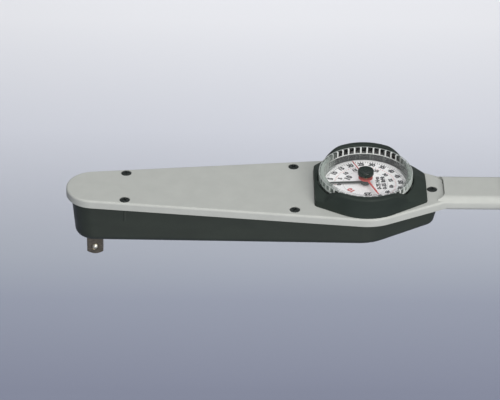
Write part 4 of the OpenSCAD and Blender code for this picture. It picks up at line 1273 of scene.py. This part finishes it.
class WRENCH_OT_dial(bpy.types.Operator):
    """Dial plate with its scales, figures and units"""

    bl_idname = "torque_wrench.dial"
    bl_label = "Dial"

    full_scale = 75
    second_unit = 1.3558
    hole = 1.55 * MM
    ring = (12.9 * MM, 13.1 * MM)
    unit_places = (7.6 * MM, 10.8 * MM)
    # length and width of the ticks in millimetres, and of those at each fifth value
    outer_tick, outer_five = (1.5, 0.33), (2.3, 0.5)
    inner_tick, inner_five = (0.9, 0.24), (1.5, 0.24)
    # heights of the other figures, as shares of the outer ones
    inner_share, core_share, below_share, unit_share = 0.85, 1.25, 1.15, 0.9

    def execute(self, context):
        dial = sizes("dial")
        edge, soft, bottom = high("dial_face").x - DIAL_X, 0.1 * MM, low("dial_face").z
        bm = lathe([
            (self.hole, bottom), (edge - soft, bottom), (edge, bottom + soft),
            (edge, DIAL_TOP - soft), (edge - soft, DIAL_TOP), (self.hole, DIAL_TOP),
        ], 128)
        dial_piece(bm, "dial_plate", "dial_white", "dial", "dial_face")

        def direction(value):
            """Angle of a value on the scale, clockwise from its zero."""
            return dial.zero_angle - dial.scale_turn * value / self.full_scale

        black, red = bmesh.new(), bmesh.new()
        tall = dial.figure_height
        second_scale = int(self.full_scale / self.second_unit)
        for value in range(self.full_scale + 1):
            five = value % 5 == 0
            place = direction(value)
            add_tick(black, place, dial.outer_ticks, *(self.outer_five if five else self.outer_tick))
            if five:
                add_text(black, str(value), tall, dial.outer_figures, place)
        for value in range(second_scale + 1):
            five = value % 5 == 0
            place = direction(value * self.second_unit)
            add_tick(red, place, dial.inner_ticks, *(self.inner_five if five else self.inner_tick))
            if five:
                add_text(black, str(value), tall * self.inner_share, dial.inner_figures, place)
        for value, below in ((10, red), (25, black)):
            figures, places = str(value), (direction(value), direction(-value))
            add_text(black, figures, tall * self.core_share, dial.core_figures, places[0])
            add_text(below, figures, tall * self.below_share, dial.core_figures, places[1])
        away = dial.zero_angle + math.pi
        units = (f"0-{self.full_scale} N·m", f"0-{second_scale} lbf·ft")
        for radius, words in zip(self.unit_places, units):
            add_text(black, words, tall * self.unit_share, radius, away, math.pi)
        (inner, outer), top = self.ring, DIAL_TOP + dial.print_thickness
        grey = lathe([(inner, DIAL_TOP), (outer, DIAL_TOP), (outer, top), (inner, top)], 128)
        dial_piece(black, "scale_black", "ink_black", "dial", slot="dial_white")
        dial_piece(red, "scale_red", "ink_red", "dial", slot="dial_white")
        dial_piece(grey, "scale_ring", "ink_grey", "dial", slot="dial_white")
        return {"FINISHED"}


def add_needle(bm, outline, bottom, thickness, ridge):
    """Adds a flat needle with softened upper edges along X, from half of its outline."""
    points = list(outline) + [(x, -w) for x, w in reversed(outline)]
    face = bm.faces.new([bm.verts.new((x, w, bottom)) for x, w in points])
    bevel(bm, extrude(bm, face, (0, 0, thickness)).edges, ridge, 2)


class WRENCH_OT_needles(bpy.types.Operator):
    """Black torque needle, red peak needle and the peak knob"""

    bl_idname = "torque_wrench.needles"
    bl_label = "Needles and knob"

    torque_rest = math.radians(183.6)
    peak_rest = math.radians(-68.5)
    peak_long = 19 * MM
    peak_hub = 4.2 * MM
    tip = 0.2 * MM
    flutes = 36
    flute_depth = 0.022

    def torque_needle(self):
        """Black needle with a domed hub."""
        hub = high("main_pointer").x - DIAL_X
        bottom, top = low("main_pointer").z, high("main_pointer").z
        long = DIAL_X - low("main_pointer").x
        bm = bmesh.new()
        add_needle(bm, [(0, 0.95 * MM), (long - 3 * MM, 0.65 * MM), (long, self.tip)],
                   bottom + 0.3 * MM, 0.5 * MM, 0.1 * MM)
        rotate(bm, bm.verts, self.torque_rest)
        foot, dome, sunk = DIAL_TOP + 0.08 * MM, 0.5 * MM, top - 0.25 * MM
        add_lathe(bm, [
            (0, foot), (hub - 0.2 * MM, foot), (hub, foot + 0.2 * MM),
            *rounded_corner(hub - dome, top - dome, dome), (hub * 0.45, top), (hub * 0.38, sunk), (0, sunk),
        ], 64)
        dial_piece(bm, "torque_needle", "pointer_black", "pointer", "main_pointer")

    def peak_needle(self):
        """Red needle with a slim tail across its flat hub."""
        bottom, top = low("memory_pointer").z, high("memory_pointer").z
        long, hub, soft = self.peak_long, self.peak_hub, 0.15 * MM
        bm = bmesh.new()
        add_needle(bm, [(0, 0.62 * MM), (long - 4 * MM, 0.5 * MM), (long, self.tip)],
                   bottom, 0.4 * MM, 0.12 * MM)
        add_needle(bm, [(-long, self.tip), (0, 0.42 * MM)], bottom, 0.4 * MM, 0.08 * MM)
        rotate(bm, bm.verts, self.peak_rest)
        add_lathe(bm, [(0, bottom), (hub - soft, bottom), (hub, bottom + soft), (hub, top - soft),
                       (hub - soft, top), (0, top)], 64)
        dial_piece(bm, "peak_needle", "pointer_red", "memory", "memory_pointer")

    def peak_knob(self):
        """Fluted knob with a sunken top."""
        radius = high("memory_knob").x - DIAL_X
        bottom, top = low("memory_knob").z, high("memory_knob").z
        soft, shoulder, sunk = 0.25 * MM, 0.55 * MM, top - 0.34 * MM
        bm = lathe([
            (0, bottom), (radius - soft, bottom), (radius, bottom + soft), (radius, bottom + 1.2 * MM),
            *rounded_corner(radius - shoulder, top - shoulder, shoulder), (radius * 0.7, top - 0.08 * MM),
            (radius * 0.62, top - 0.28 * MM), (radius * 0.3, sunk), (0, sunk),
        ], self.flutes * 4)
        for vertex in bm.verts:
            if math.hypot(vertex.co.x, vertex.co.y) > radius * 0.97:
                angle = math.atan2(vertex.co.y, vertex.co.x)
                dent = 1 - self.flute_depth * (1 - math.cos(angle * self.flutes)) / 2
                vertex.co.x *= dent
                vertex.co.y *= dent
        dial_piece(bm, "peak_knob", "knob_black", "memory", "memory_knob")

    def execute(self, context):
        self.torque_needle()
        self.peak_needle()
        self.peak_knob()
        return {"FINISHED"}


# ---------- stage ----------


class WRENCH_OT_stage(bpy.types.Operator):
    """Floor with a painted light fall-off, soft lights and the camera, which is placed from the deck's top
    """

    bl_idname = "torque_wrench.stage"
    bl_label = "Stage"

    floor_level = -0.22
    floor_size = 14.0
    # where the floor's painted light fall-off starts and ends, and its inner colour stops
    fade_start, fade_end = 0.154, 0.663
    fade_stops = ((0.208, "floor_rise"), (0.318, "floor_near"), (0.658, "floor_far"))
    camera_place = Vector((0.07251, -1.36281, 0.88237))
    camera_tilt = math.radians(33.177)
    camera_turn = math.radians(-0.762)
    camera_roll = math.radians(0.972)
    focal_length = 200.94
    centre = (0.10, 0, 0.04)
    # each light's name, place, target, size, power and colour
    lights = (
        ("key_light", (1.04, -2.02, 0.94), centre, 1.3, 43, (1.0, 0.99, 0.965)),
        ("top_light", (0.1, -0.4, 2.2), centre, 1.4, 27, (0.985, 0.99, 1.0)),
        ("low_light", (0.1, -1.5, -0.12), (0, 0, 0.01), 0.4, 3, (1.0, 0.98, 0.95)),
        ("backdrop_light", (0.1, 1.15, 1.2), (0.1, 1.15, 0), 0.5, 2.6, (0.98, 0.99, 1.0)),
    )
    backdrop_spread = math.radians(80)
    sky = (0.93, 0.95, 1.0, 1)
    sky_strength = 0.3

    def floor(self):
        """Floor whose colour is a painted light fall-off, dark in front and growing pale towards its back.
        """
        chosen = sizes("colours")
        bm = bmesh.new()
        bmesh.ops.create_grid(bm, x_segments=1, y_segments=1, size=self.floor_size / 2)
        floor = to_object(bm, "studio_floor")
        floor.data.transform(Matrix.Translation((0, 0, self.floor_level)))
        finish = Finish("floor_paper", chosen.floor_back, 0.9, Specular_IOR_Level=0.1)
        away = finish.node("SeparateXYZ", {"Vector": finish.coords}, "Y")
        depth = finish.ramp(away, self.fade_start, self.fade_end, 0.0, 1.0)
        fade = finish.node("ValToRGB", {"Fac": depth}, "Color")
        finish.drive("Base Color", fade)
        stops = fade.node.color_ramp.elements
        stops[0].color = (*chosen.floor_front, 1)
        stops[1].color = (*chosen.floor_back, 1)
        for share, shade in self.fade_stops:
            stops.new(share).color = (*getattr(chosen, shade), 1)
        floor.data.materials.append(finish.material)

    def area_light(self, name, place, target, size, power, tint):
        """Round soft light at a place, turned to its target."""
        light = bpy.data.lights.new(name, "AREA")
        light.shape = "DISK"
        light.size = size
        light.energy = power
        light.color = tint
        holder = link_object(name, light)
        holder.location = place
        holder.rotation_mode = "QUATERNION"
        holder.rotation_quaternion = (Vector(target) - Vector(place)).to_track_quat("-Z", "Y")
        holder.visible_camera = False
        return light

    def camera(self):
        """Long lens in front of the wrench, looking down on its dial."""
        data = bpy.data.cameras.new("camera")
        data.lens = self.focal_length
        data.sensor_width = 36
        data.clip_start, data.clip_end = 0.05, 50
        camera = link_object("camera", data)
        camera.matrix_world = (Matrix.Translation(self.camera_place + UP * DECK_TOP)
                               @ Matrix.Rotation(self.camera_turn, 4, "Z")
                               @ Matrix.Rotation(RIGHT_ANGLE - self.camera_tilt, 4, "X")
                               @ Matrix.Rotation(self.camera_roll, 4, "Z"))
        bpy.context.scene.camera = camera

    def execute(self, context):
        self.camera()
        self.floor()
        backdrop = [self.area_light(*light) for light in self.lights][-1]
        backdrop.spread = self.backdrop_spread
        world = bpy.data.worlds.new("studio")
        world.use_nodes = True
        background = world.node_tree.nodes["Background"]
        background.inputs["Color"].default_value = self.sky
        background.inputs["Strength"].default_value = self.sky_strength
        context.scene.world = world
        context.scene.view_settings.view_transform = "Standard"
        return {"FINISHED"}


# ---------- panel and registration ----------

STEPS = (
    WRENCH_OT_stage, WRENCH_OT_finishes, WRENCH_OT_deck, WRENCH_OT_case, WRENCH_OT_screws,
    WRENCH_OT_handle, WRENCH_OT_guard, WRENCH_OT_drive, WRENCH_OT_cover, WRENCH_OT_dial,
    WRENCH_OT_needles,
)

SETTINGS = {
    "body": BodySizes, "guard": GuardSizes, "cover": CoverSizes, "dial": DialSizes,
    "handle": HandleSizes, "colours": FinishColours,
}


class WRENCH_PT_panel(bpy.types.Panel):
    """Lists the steps and the sizes"""

    bl_idname = "WRENCH_PT_panel"
    bl_label = "Torque wrench"
    bl_space_type = "VIEW_3D"
    bl_region_type = "UI"
    bl_category = "Torque wrench"

    def draw(self, context):
        for step in STEPS:
            self.layout.operator(step.bl_idname, text=step.bl_label)
        for kind in SETTINGS:
            box = self.layout.box()
            box.label(text=kind.capitalize())
            for name in SETTINGS[kind].__annotations__:
                box.prop(sizes(kind), name)


def register():
    """Registers the settings, the steps and the panel."""
    for kind, group in SETTINGS.items():
        bpy.utils.register_class(group)
        setattr(bpy.types.Scene, PREFIX + kind, PointerProperty(type=group))
    for step in (*STEPS, WRENCH_PT_panel):
        bpy.utils.register_class(step)


def unregister():
    """Takes back what register has done."""
    for step in (WRENCH_PT_panel, *reversed(STEPS)):
        bpy.utils.unregister_class(step)
    for kind, group in SETTINGS.items():
        delattr(bpy.types.Scene, PREFIX + kind)
        bpy.utils.unregister_class(group)


def main():
    """Builds the wrench step by step."""
    register()
    for step in STEPS:
        group, name = step.bl_idname.split(".")
        getattr(getattr(bpy.ops, group), name)()


if __name__ == "__main__":
    main()
